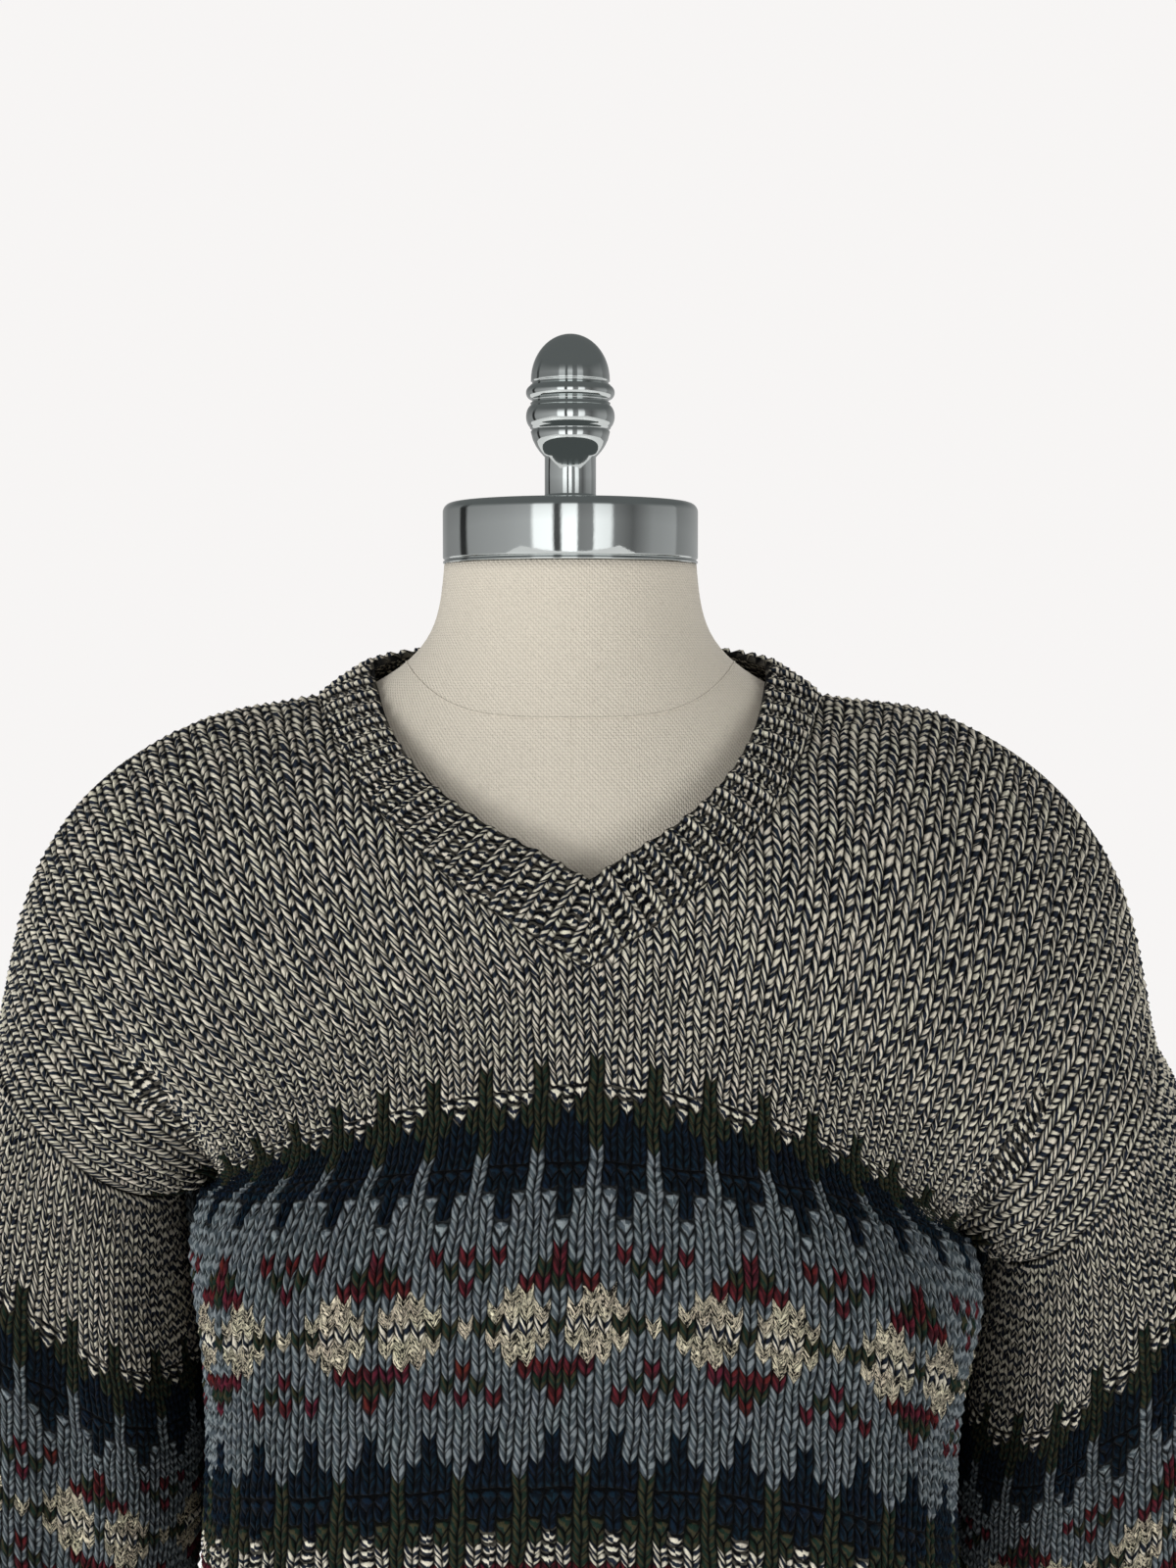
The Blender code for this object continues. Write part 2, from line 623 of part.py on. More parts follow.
def turned(name, profile, finish, lift, sides=TURNED_SIDES):
    """A turned piece: its profile runs from the axis at the top, down its outer side, to the axis below."""
    mesh = bpy.data.meshes.new(name)
    bm = bmesh.new()
    verts = [bm.verts.new((max(r, 0.0), 0, z)) for r, z in profile]
    for a, b in zip(verts, verts[1:]):
        bm.edges.new((a, b))
    bm.to_mesh(mesh)
    bm.free()
    made = new_object(name, mesh, finish)
    made.location.z = lift
    screw = made.modifiers.new("Turn", "SCREW")
    screw.steps = sides
    screw.render_steps = sides
    screw.use_merge_vertices = True
    screw.merge_threshold = 0.00005
    screw.use_smooth_shade = True
    return made


def make_cap_and_finial():
    """The chrome cap that closes the neck, and the finial that stands on it."""
    radius, height, edge = CAP["radius"], CAP["height"], CAP["edge"]
    profile = [(0, height)] + arc(radius - edge, height - edge, edge, edge, 90, 0, 5) + [(radius, 0), (0, 0)]
    turned("neck_cap", profile, "chrome", RIM_HEIGHT)
    shape = FINIAL
    dome, upper, lower = shape["dome"], shape["upper_bead"], shape["lower_bead"]
    profile = [(0, shape["height"])]
    profile += arc(0, dome["z"], dome["radius"], shape["height"] - dome["z"], 78, 0, 7)
    profile += [(shape["groove"], shape["upper_groove"])]
    profile += arc(upper["radius"] - upper["thick"], upper["z"], upper["thick"], upper["tall"], 60, -60, 4)
    profile += [(shape["groove"], shape["lower_groove"])]
    profile += arc(lower["radius"] - lower["thick"], lower["z"], lower["thick"], lower["tall"], 70, -40, 4)
    profile += shape["bowl"][::-1]
    profile += [(shape["stem"], shape["stem_head"]), (shape["stem"], shape["stem_foot"])]
    profile += [shape["flare_foot"], (shape["flare"], 0), (0, 0)]
    turned("finial", profile, "chrome", RIM_HEIGHT + height + REST_GAP, 24)


def make_stand():
    """Post and round base under the form."""
    form_bottom = RIM_HEIGHT + FORM[-1]["z"]
    radius, thickness, edge = BASE["radius"], BASE["thickness"], BASE["edge"]
    profile = [(0, BASE["collar_top"])]
    profile += [(BASE["collar"] - 0.002, BASE["collar_top"]), (BASE["collar"], BASE["collar_top"] - 0.002)]
    profile += [(BASE["collar"] + 0.001, thickness + 0.003), (BASE["collar"] + 0.004, thickness)]
    profile += arc(radius - edge, thickness - edge, edge, edge, 90, 0, 4)
    profile += [(radius, 0), (0, 0)]
    turned("stand_base", profile, "chrome", 0.0, 48)
    length = form_bottom - BASE["collar_top"] - 2 * REST_GAP
    bpy.ops.mesh.primitive_cylinder_add(
        vertices=24,
        radius=POST_RADIUS,
        depth=length,
        location=(0, 0, BASE["collar_top"] + REST_GAP + length / 2),
    )
    post = bpy.context.active_object
    post.name = "stand_post"
    post.data.materials.append(material("steel"))
    for collection in list(post.users_collection):
        collection.objects.unlink(post)
    parts.objects.link(post)


for old in list(bpy.data.objects):
    bpy.data.objects.remove(old, do_unlink=True)
parts = bpy.data.collections.new("pullover_on_dress_form")
bpy.context.scene.collection.children.link(parts)
make_knitting()
make_hem()
make_cuff("cuff_right", RIGHT)
make_cuff("cuff_left", LEFT)
make_form()
make_cap_and_finial()
make_stand()
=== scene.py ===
# A chunky V-neck sweater on a linen dress form with chrome fittings: the looks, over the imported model.
# Metres, +Z up. The front faces -Y and right is +X. Heights of cloth and form count from the cap's rim.

import math

import bmesh
import bpy
import numpy as np
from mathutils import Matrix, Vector
from mathutils.bvhtree import BVHTree
from mathutils.kdtree import KDTree


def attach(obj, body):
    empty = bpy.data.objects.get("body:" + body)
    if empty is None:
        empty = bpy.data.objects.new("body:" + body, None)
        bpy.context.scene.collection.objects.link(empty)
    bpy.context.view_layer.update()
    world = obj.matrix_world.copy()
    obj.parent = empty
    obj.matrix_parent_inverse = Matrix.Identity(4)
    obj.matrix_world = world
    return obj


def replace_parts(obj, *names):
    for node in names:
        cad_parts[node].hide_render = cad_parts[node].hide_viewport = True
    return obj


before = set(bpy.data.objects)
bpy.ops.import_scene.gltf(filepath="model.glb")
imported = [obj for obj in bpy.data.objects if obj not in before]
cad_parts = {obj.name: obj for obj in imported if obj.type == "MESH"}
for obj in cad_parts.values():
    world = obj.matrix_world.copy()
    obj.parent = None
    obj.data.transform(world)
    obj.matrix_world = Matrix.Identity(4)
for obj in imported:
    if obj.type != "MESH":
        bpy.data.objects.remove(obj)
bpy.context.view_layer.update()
print("frame loaded")

rimHeight = 1.02
front, back = -1, 1
right, left = 1, -1


def table(names, *rows):
    return [dict(zip(names.split(), row)) for row in rows]


def readTable(rows, column, at):
    # one column of a table, on a smooth curve through its rows, by their first column
    x = np.array([next(iter(row.values())) for row in rows])
    y = np.array([row[column] for row in rows])
    at = np.clip(np.asarray(at, dtype=float), x[0], x[-1])
    slopes = np.gradient(y, x)
    i = np.clip(np.searchsorted(x, at, side="right") - 1, 0, len(x) - 2)
    step = x[i + 1] - x[i]
    t = (at - x[i]) / step
    start = (1 + 2 * t) * (1 - t) ** 2 * y[i] + t * (1 - t) ** 2 * step * slopes[i]
    return start + t * t * (3 - 2 * t) * y[i + 1] + t * t * (t - 1) * step * slopes[i + 1]


def ease(x, low, high):
    t = np.clip((np.asarray(x, dtype=float) - low) / (high - low), 0, 1)
    return t * t * (3 - 2 * t)


def points(x, y, z):
    return np.stack(np.broadcast_arrays(x, y, z), axis=-1).astype(float)


def lookUp(pairs, at):
    # straight lines between pairs of numbers
    return np.interp(at, *zip(*pairs))


def unit(vectors):
    return vectors / np.maximum(np.linalg.norm(vectors, axis=-1, keepdims=True), 1e-12)


def meshFrom(bm, name):
    mesh = bpy.data.meshes.new(name)
    bm.to_mesh(mesh)
    bm.free()
    return mesh


def newObject(name, data):
    made = bpy.data.objects.new(name, data)
    bpy.context.scene.collection.objects.link(made)
    return made


def finished(name, mesh, material):
    # an object of a smooth mesh in one material
    mesh.shade_smooth()
    mesh.materials.clear()
    mesh.materials.append(material)
    return newObject(name, mesh)


# the cut of the sweater, as in the solids

sweater = {
    "wall": 0.0030,
    "armholeDepth": 0.235,
    "panelLength": 0.63,
    "garmentLength": 0.70,
    "sleeveLength": 0.40,
    "sleeveAndCuff": 0.47,
    "ringDepth": 0.070,
    "shoulderFall": math.radians(80),
    "sleeveMeanX": {right: 0.240, left: 0.2335},
    "sleeveMeanRadius": 0.0610,
    "vPointShift": 0.0086,
    "sideBoxiness": 0.85,
    "neckPoint": {front: 0.141, back: 0.050},
    "shoulderRise": {right: 0.0100, left: 0.0065},
}
ringSizes = table(
    "x z radius lean sag waist",
    (0.2470, -0.2830, 0.0632, math.radians(50.8), 0.020, 0.004),
    (0.2360, -0.2655, 0.0585, math.radians(40.5), 0.011, 0.0),
)
ring = {right: ringSizes[0], left: ringSizes[1]}
neckCurve = {
    front: table(
        "v share x y z inX inY inZ",
        (0.000, 0.335, 0.124, 0.000, -0.064, 0.0985, -0.001, -0.048),
        (0.036, 0.318, 0.109, -0.047, -0.088, 0.0865, -0.048, -0.077),
        (0.070, 0.272, 0.088, -0.082, -0.117, 0.0675, -0.079, -0.101),
        (0.098, 0.186, 0.058, -0.1035, -0.144, 0.0425, -0.097, -0.120),
        (0.121, 0.096, 0.029, -0.1135, -0.165, 0.0200, -0.1055, -0.132),
        (0.141, 0.000, 0.000, -0.118, -0.182, 0.0000, -0.110, -0.1435),
    ),
    back: table(
        "v share x y z inX inY inZ",
        (0.000, 0.335, 0.124, 0.000, -0.064, 0.0985, -0.001, -0.048),
        (0.018, 0.280, 0.108, 0.046, -0.0625, 0.0830, 0.036, -0.0425),
        (0.037, 0.165, 0.066, 0.083, -0.0630, 0.0500, 0.065, -0.0400),
        (0.050, 0.000, 0.000, 0.097, -0.0640, 0.0000, 0.077, -0.0385),
    ),
}
centreLine = {
    front: table(
        "v y z",
        (0.141, -0.118, -0.182),
        (0.185, -0.1255, -0.225),
        (0.235, -0.1300, -0.274),
        (0.320, -0.1320, -0.358),
        (0.450, -0.1310, -0.487),
        (0.580, -0.1330, -0.616),
        (0.700, -0.1360, -0.735),
    ),
    back: table(
        "v y z",
        (0.050, 0.097, -0.064),
        (0.092, 0.109, -0.106),
        (0.160, 0.119, -0.176),
        (0.252, 0.122, -0.270),
        (0.364, 0.118, -0.385),
        (0.509, 0.119, -0.535),
        (0.700, 0.126, -0.735),
    ),
}
sideSeam = table(
    "v inward drop",
    (0.235, 0.0000, 0.000),
    (0.262, 0.0045, 0.027),
    (0.284, 0.0110, 0.048),
    (0.307, 0.0150, 0.070),
    (0.338, 0.0175, 0.100),
    (0.400, 0.0160, 0.160),
    (0.500, 0.0100, 0.256),
    (0.600, 0.0050, 0.352),
    (0.700, 0.0030, 0.448),
)
rowStart = table(
    "v run fall",
    (0.000, 0.100, 0.028),
    (0.070, 0.095, 0.024),
    (0.141, 0.130, 0.020),
    (0.235, 0.152, 0.010),
    (0.700, 0.158, 0.006),
)
armpitCrease = {
    "depth": {front: 0.015, back: 0.010},
    "width": 0.012,
    "starts": (0.050, 0.175),
    "ends": (0.245, 0.330),
    "place": [(0.06, 0.066), (0.21, 0.026), (0.24, 0.024), (0.33, 0.034)],
}
sleeveCrease = {
    "depth": {front: 0.013, back: 0.007},
    "angle": {front: math.radians(99), back: math.radians(80)},
    "width": 0.27,
    "starts": (0.005, 0.075),
    "ends": (0.16, 0.36),
}
sleeveShape = table(
    "d out down lean wide deep sag",
    (0.000, 0.0000, 0.0000, 1.00, 0.0000, 0.0700, 0.000),
    (0.035, 0.0095, 0.0340, 0.90, 0.0080, 0.0670, 0.008),
    (0.070, 0.0170, 0.0700, 0.78, 0.0150, 0.0630, 0.015),
    (0.120, 0.0185, 0.1200, 0.58, 0.0150, 0.0590, 0.018),
    (0.180, 0.0200, 0.1800, 0.42, 0.0120, 0.0550, 0.016),
    (0.260, 0.0290, 0.2590, 0.32, 0.0070, 0.0520, 0.010),
    (0.340, 0.0410, 0.3370, 0.26, 0.0000, 0.0490, 0.004),
    (0.382, 0.0470, 0.3780, 0.24, -0.008, 0.0450, 0.001),
    (0.400, 0.0500, 0.3950, 0.24, -0.0195, 0.0385, 0.000),
    (0.430, 0.0560, 0.4240, 0.22, -0.0225, 0.0365, 0.000),
    (0.470, 0.0630, 0.4620, 0.22, -0.0230, 0.0360, 0.000),
)


def neckShare(face, v):
    # where a knitted row starts, as a share of the half row
    return np.where(v < sweater["neckPoint"][face], readTable(neckCurve[face], "share", v), 0.0)


def neckEdge(half, face, v, inner=False):
    names = ("inX", "inY", "inZ") if inner else ("x", "y", "z")
    x, y, z = (readTable(neckCurve[face], name, v) for name in names)
    wide = readTable(neckCurve[face], names[0], 0.0)
    shift = sweater["vPointShift"] * (1 - x / wide) if face == front else 0.0
    return points(half * x + shift, y, z)


def ringPoint(half, face, angle):
    # a point of the armhole seam: angle 0 at the shoulder, pi at the underarm
    at = ring[half]
    up = at["radius"] * np.cos(angle)
    return points(
        half * (at["x"] + up * math.cos(at["lean"])),
        face * sweater["ringDepth"] * np.sin(angle),
        at["z"] + up * math.sin(at["lean"]) - at["sag"] * np.sin(angle),
    )


def bodyPoints(half, face, v, share):
    # outer surface of a panel: v runs down the knitting, share from the centre to the edge
    angle = math.pi * np.clip(v / sweater["armholeDepth"], 0, 1)
    atRing = ringPoint(half, face, angle)
    across = math.pi / 2 - ring[half]["lean"]
    fall = np.interp(angle, [0, math.pi / 2, math.pi], [sweater["shoulderFall"], across, 0.0])
    reach = np.interp(angle, [0, math.pi / 2, math.pi], [0.110, 0.050, 0.022])
    ringHandle = atRing - reach[..., None] * points(half * np.cos(fall), 0 * v, -np.sin(fall))
    shift = sweater["vPointShift"] * (1 - ease(v, 0.16, 0.45)) if face == front else 0.0
    centre = centreLine[face]
    middle = points(shift, readTable(centre, "y", v), readTable(centre, "z", v))
    start = np.where((v < sweater["neckPoint"][face])[..., None], neckEdge(half, face, v), middle)
    underarm = ringPoint(half, face, math.pi)
    waist = ring[half]["waist"] * ease(v, 0.25, 0.33)
    sideX = underarm[0] - half * (readTable(sideSeam, "inward", v) + waist)
    side = points(sideX, 0 * v, underarm[2] - readTable(sideSeam, "drop", v))
    end = np.where((v <= sweater["armholeDepth"])[..., None], atRing, side)
    sideHandle = end + points(0 * v, sweater["sideBoxiness"] * start[..., 1], 0 * v)
    blend = ease(v, 0.80 * sweater["armholeDepth"], 1.25 * sweater["armholeDepth"])[..., None]
    endHandle = (1 - blend) * ringHandle + blend * sideHandle
    run, drop = readTable(rowStart, "run", v), readTable(rowStart, "fall", v)
    startHandle = start + points(half * run, 0 * v, -drop)

    def along(t):
        t = t[..., None]
        near = (1 - t) ** 3 * start + 3 * t * (1 - t) ** 2 * startHandle
        return near + 3 * t * t * (1 - t) * endHandle + t**3 * end

    samples = np.linspace(0, 1, 41)
    track = np.stack([along(np.full(v.shape, t)) for t in samples])
    steps = np.linalg.norm(np.diff(track, axis=0), axis=-1)
    length = np.concatenate([np.zeros((1, *v.shape)), steps.cumsum(axis=0)])
    first = neckShare(face, v)
    part = np.clip((share - first) / (1 - first), 0, 1)
    wanted = part * length[-1]
    i = np.clip((length < wanted).sum(axis=0) - 1, 0, len(samples) - 2)
    low = np.take_along_axis(length, i[None], axis=0)[0]
    high = np.take_along_axis(length, i[None] + 1, axis=0)[0]
    t = (i + (wanted - low) / np.maximum(high - low, 1e-9)) / (len(samples) - 1)
    place = along(np.clip(t, 0, 1))
    crease = armpitCrease
    fromEdge = length[-1] - wanted
    middle = lookUp(crease["place"], v)
    depth = crease["depth"][face] * ease(v, *crease["starts"]) * (1 - ease(v, *crease["ends"]))
    depth = depth * np.exp(-(((fromEdge - middle) / crease["width"]) ** 2)) * ease(fromEdge, 0, 0.012)
    rise = sweater["shoulderRise"][half] * ease(part, 0.0, 0.25) * (1 - ease(part, 0.7, 1.0))
    rise = rise * (1 - ease(v, 0.03, 0.17))
    place = place + rise[..., None] * points(0.35 * half, 0.0, 0.94)
    return place + depth[..., None] * points(-0.35 * half, -0.94 * face, 0.0)


def sleevePoints(half, face, d, angle):
    # outer surface of a sleeve and its cuff, d below the armhole seam
    at = ring[half]
    lean = at["lean"] * readTable(sleeveShape, "lean", d)
    crease = sleeveCrease
    bulge = np.exp(-(((angle - crease["angle"][face]) / crease["width"]) ** 2))
    fold = crease["depth"][face] * ease(d, *crease["starts"]) * (1 - ease(d, *crease["ends"]))
    settle = ease(d, 0.0, 0.10)
    wide = at["radius"] * (1 - settle) + sweater["sleeveMeanRadius"] * settle
    wide = wide + readTable(sleeveShape, "wide", d)
    middle = at["x"] * (1 - settle) + sweater["sleeveMeanX"][half] * settle
    deep = readTable(sleeveShape, "deep", d) - fold * bulge
    out = middle + readTable(sleeveShape, "out", d) + wide * np.cos(angle) * np.cos(lean)
    up = at["z"] - readTable(sleeveShape, "down", d) + wide * np.cos(angle) * np.sin(lean)
    sag = at["sag"] * (1 - ease(d, 0.05, 0.40)) + readTable(sleeveShape, "sag", d)
    return points(half * out, face * deep * np.sin(angle), up - sag * np.sin(angle))


# yarns, in the eye's own 0 to 255, and the chart of the band

yarns = {
    "M": {"light": (194, 188, 172), "dark": (25, 31, 41), "curl": 0.0},
    "G": {"light": (110, 117, 120), "dark": (64, 72, 77), "curl": 0.0},
    "N": {"light": (9, 24, 36), "dark": (4, 11, 19), "curl": 0.0},
    "O": {"light": (48, 46, 32), "dark": (20, 35, 28), "curl": 0.0},
    "R": {"light": (78, 26, 32), "dark": (48, 18, 23), "curl": 0.0},
    "C": {"light": (222, 212, 186), "dark": (54, 52, 46), "curl": 1.0},
}
# one repeat of 12 stitches from the middle of a medallion, a line for each row, small letters for purl
bandChart = [
    "MMOMMMOMMMOM",
    "MMOMMMOMMMOM",
    "mmOmmmOmmmOm",
    "mOOOmOOOmOOO",
    "NOOONOOONOOO",
    "NNONNNONNNON",
    "NNONNNONNNON",
    "NNGNNNGNNNGN",
    "nnGnnnGnnnGn",
    "NNGNNNGNNNGN",
    "NgGgNgGgNgGg",
    "NGGGNGGGNGGG",
    "gGGGgGGGgGGG",
    "GGGGGGGGGGGG",
    "RGGGRGRGRGGG",
    "ROGGGOGOGGGO",
    "ORRGGGRGGGRR",
    "GGCCGGGGGCCG",
    "GCCCCGGGCCCC",
    "OMMMOOCOOMMM",
    "GCCCCGGGCCCC",
    "GGCCGGGGGCCG",
    "RRRGGGRGGGRR",
    "OOGGGOGOGGGO",
    "RGGGRGRGRGGG",
    "GGGGGGGGGGGG",
    "GGGGGGGGGGGG",
    "NGGGNGGGNGGG",
    "NGGGNGGGNGGG",
    "NNGNNNGNNNGN",
    "NNONNNONNNON",
    "nnOnnnOnnnOn",
    "NNONNNONNNON",
    "NoOoNoOoNoOo",
    "mOOOmOOOmOOO",
    "mMOMmMOMmMOM",
    "mMOMmMOMmMOM",
    "RRRRRRRRRRRR",
]
chartShift = 2


def linear(colour):
    value = np.array(colour) / 255
    return np.where(value <= 0.04045, value / 12.92, ((value + 0.055) / 1.055) ** 2.4)


def chartLetters(wale, course, bandStart):
    # the yarn of each stitch of a piece
    chart = np.array([list(row) for row in bandChart])
    row = course - bandStart
    inside = (row >= 0) & (row < len(bandChart))
    letters = chart[np.clip(row, 0, len(bandChart) - 1), (wale + chartShift) % chart.shape[1]]
    return np.where(inside, letters, "M")


# how one stitch is shaped: two legs that lean together, crest and valley

stitch = {
    "columns": 4,
    "rows": 2,
    "crest": 0.0022,
    "split": 0.55,
    "splitDrift": 0.05,
    "slant": 0.8,
    "wander": 0.14,
    "sink": 0.0003,
    "seed": 11,
}


def waver(wale, course, seed):
    first = np.sin(0.83 * wale + 0.61 * course + seed)
    second = np.sin(1.71 * wale - 0.94 * course + 2.1 * seed)
    return (first + second + np.sin(0.37 * wale + 1.9 * course + 3.7 * seed)) / 3


def knittedGrid(piece):
    # fine points of a knitted surface and their directions, with the slant and relief of each stitch
    wales = np.arange(piece["waleRange"][0], piece["waleRange"][1] + 1e-6, 1 / stitch["columns"])
    courses = np.arange(0, piece["courses"] + 1e-6, 1 / stitch["rows"])
    wale, course = np.meshgrid(wales, courses)
    cell = np.floor(wale + 1e-6)
    across = wale - cell
    level = np.floor(course + 1e-6)
    purl = np.char.islower(piece["letters"](cell.astype(int), level.astype(int)))
    inside = ease(course, 0, 1.5) * (1 - ease(course, piece["courses"] - 1.5, piece["courses"]))
    split = stitch["split"] - stitch["splitDrift"] * piece["drift"] * wale / piece["waleRange"][1]
    legs = np.where(across < 0.5, 2 * across * split, split + (2 * across - 1) * (1 - split))
    freely = stitch["wander"] * inside * piece["freedom"](wale)
    lift = stitch["slant"] * piece["slant"] * (np.abs(2 * across - 1) - 0.5) * inside
    purlBefore = np.char.islower(piece["letters"](cell.astype(int) - 1, level.astype(int)))
    lift = lift * np.where(across < 0.1, 1 - 0.5 * purl - 0.5 * purlBefore, 1.0 - purl)
    place = cell + legs + freely * waver(wale, course, 1.0)
    knitted = course - lift + freely * waver(wale, course, 2.3)
    held = lookUp(piece["depths"], course)
    place, depth, edge = piece["fit"](place, lookUp(piece["depths"], knitted), held)
    at, normal = piece["surface"](place, depth)
    legCrest = 1 - np.abs(2 * np.mod(2 * across, 1) - 1)
    crest = 0.25 + 0.75 * np.where(purl, np.sin(math.pi * across), legCrest)
    crest = crest * (0.35 + 0.65 * (1 - np.abs(2 * (course - level) - 1)))
    size = (int(courses[-1]) + 2, int(wales[-1] - wales[0]) + 2)
    plump = np.random.default_rng(stitch["seed"]).random(size)
    plump = 0.85 + 0.30 * plump[level.astype(int), (cell - wales[0]).astype(int)]
    rise = stitch["crest"] * crest * plump * piece["relief"] + piece["ribs"](wale, across, course)
    fade = ease(edge, 0, 0.8) * ease(course, 0, 0.6) * ease(piece["courses"] - course, 0, 0.6)
    at = at + (rise * fade - stitch["sink"])[..., None] * normal
    if piece["closed"]:
        hidden = (edge <= 0)[..., None]
        at, normal = np.where(hidden, at[:, :1], at), np.where(hidden, normal[:, :1], normal)
        at[:, -1], normal[:, -1] = at[:, 0], normal[:, 0]
    return at, normal, wale, course


def surfaceAndNormal(base, place, depth, length, turn):
    at = base(place, depth)
    away = np.where(place < 0, -1.0, 1.0) * np.where(np.abs(place) > turn, -0.25, 0.25)
    below = np.where(depth > length / 2, -0.002, 0.002)
    aside = (base(place + away, depth) - at) / away[..., None]
    down = (base(place, depth + below) - at) / below[..., None]
    normal = np.cross(down, aside)
    return at, unit(normal)


def knitSurface(base, length, turn):
    return lambda place, depth: surfaceAndNormal(base, place, depth, length, turn)


def gridMesh(name, at, wale, course, letters, normal):
    # a grid of faces on the given points, with its stitch map and yarn colours
    rows, columns = at.shape[0] - 1, at.shape[1] - 1
    bm = bmesh.new()
    bmesh.ops.create_grid(bm, x_segments=columns, y_segments=rows, size=0.5)
    mesh = meshFrom(bm, name)
    flat = np.empty(len(mesh.vertices) * 3)
    mesh.vertices.foreach_get("co", flat)
    flat = flat.reshape(-1, 3)
    column = np.rint((flat[:, 0] + 0.5) * columns).astype(int)
    row = np.rint((0.5 - flat[:, 1]) * rows).astype(int)
    at = at + np.array([0, 0, rimHeight])
    mesh.vertices.foreach_set("co", at[row, column].ravel())
    facing = mesh.attributes.new("facing", "FLOAT_VECTOR", "POINT")
    facing.data.foreach_set("vector", normal[row, column].ravel())
    corner = np.empty(len(mesh.loops), dtype=np.int32)
    mesh.loops.foreach_get("vertex_index", corner)
    grid = np.stack([wale[row, column][corner], -course[row, column][corner]], axis=1)
    mesh.uv_layers.new(name="stitches").data.foreach_set("uv", grid.ravel())
    faceRow = row[corner].reshape(-1, 4).min(axis=1)
    faceColumn = column[corner].reshape(-1, 4).min(axis=1)
    yarn = letters[faceRow, faceColumn]
    for layer, key, alpha in (("plyLight", "light", None), ("plyDark", "dark", "curl")):
        colours = np.ones((len(yarn), 4))
        for letter, dye in yarns.items():
            mine = np.char.upper(yarn) == letter
            colours[mine, :3] = linear(dye[key])
            colours[mine, 3] = dye[alpha] if alpha else 0.0
        if not alpha:
            colours[:, 3] = np.char.islower(yarn)
        made = mesh.color_attributes.new(layer, "FLOAT_COLOR", "CORNER")
        made.data.foreach_set("color", np.repeat(colours, 4, axis=0).ravel())
    return mesh, faceRow, faceColumn


def knittedPiece(name, piece, material):
    # a closed knitted wall: the stitches outside, a plain inside, and a folded rim between them
    at, normal, wale, course = knittedGrid(piece)
    stitchWale = np.floor(wale[:-1, :-1] + 1e-6).astype(int)
    stitchCourse = np.floor(course[:-1, :-1] + 1e-6).astype(int)
    letters = piece["letters"](stitchWale, stitchCourse)
    mesh, faceRow, faceColumn = gridMesh(name, at, wale, course, letters, normal)
    cut = piece["cut"](course[faceRow + 1, faceColumn], faceColumn, at.shape[1] - 1)
    mark = mesh.attributes.new("cutAway", "INT", "FACE")
    mark.data.foreach_set("value", cut.astype(np.int32))
    inside, insideNormal, insideWale, insideCourse = piece["lining"]()
    plain = np.full((inside.shape[0] - 1, inside.shape[1] - 1), "m")
    if piece["closed"]:
        insideNormal[:, -1], inside[:, -1] = insideNormal[:, 0], inside[:, 0]
    inside = inside - (sweater["wall"] + stitch["sink"]) * insideNormal
    lining, _, _ = gridMesh(name + "Lining", inside, insideWale, insideCourse, plain, insideNormal)
    bm = bmesh.new()
    bm.from_mesh(mesh)
    marks = bm.faces.layers.int["cutAway"]
    bmesh.ops.delete(bm, geom=[face for face in bm.faces if face[marks]], context="FACES")
    bmesh.ops.remove_doubles(bm, verts=bm.verts, dist=0.00002)
    bmesh.ops.dissolve_degenerate(bm, edges=bm.edges, dist=0.00002)
    outward = bm.verts.layers.float_vector["facing"]
    edges = [edge for edge in bm.edges if edge.is_boundary]
    rim = bmesh.ops.extrude_edge_only(bm, edges=edges)["geom"]
    rim = [vert for vert in rim if isinstance(vert, bmesh.types.BMVert)]
    for vert in rim:
        vert.co -= vert[outward].normalized() * sweater["wall"]
    outside = set(bm.verts)
    bm.from_mesh(lining)
    inner = [vert for vert in bm.verts if vert not in outside]
    bmesh.ops.remove_doubles(bm, verts=inner, dist=0.00002)
    inner = [vert for vert in inner if vert.is_valid and vert.is_boundary]
    tree = KDTree(len(inner))
    for i, vert in enumerate(inner):
        tree.insert(vert.co, i)
    tree.balance()
    bmesh.ops.weld_verts(bm, targetmap={vert: inner[tree.find(vert.co)[1]] for vert in rim})
    bmesh.ops.recalc_face_normals(bm, faces=bm.faces)
    open_ = sum(not edge.is_manifold for edge in bm.edges)
    bm.to_mesh(mesh)
    bm.free()
    bpy.data.meshes.remove(lining)
    for spare in ("facing", "cutAway"):
        mesh.attributes.remove(mesh.attributes[spare])
    print(name, len(mesh.polygons), "faces,", open_, "open edges")
    return finished(name, mesh, material)


# node groups that more than one finish uses


def newGroup(name, inputs, outputs):
    tree = bpy.data.node_groups.new(name, "ShaderNodeTree")
    for label, kind in inputs:
        tree.interface.new_socket(label, in_out="INPUT", socket_type="NodeSocket" + kind)
    for label, kind in outputs:
        tree.interface.new_socket(label, in_out="OUTPUT", socket_type="NodeSocket" + kind)
    return tree, tree.nodes.new("NodeGroupInput"), tree.nodes.new("NodeGroupOutput")


def put(tree, socket, value):
    if isinstance(value, bpy.types.NodeSocket):
        tree.links.new(value, socket)
    else:
        socket.default_value = value


def fill(tree, node, values):
    for label, value in values.items():
        put(tree, node.inputs[label], value)
    return node


def calc(tree, operation, *values):
    node = tree.nodes.new("ShaderNodeMath")
    node.operation = operation
    for socket, value in zip(node.inputs, values):
        put(tree, socket, value)
    return node.outputs[0]


def times(tree, first, second):
    return calc(tree, "MULTIPLY", first, second)


def plus(tree, first, second):
    return calc(tree, "ADD", first, second)


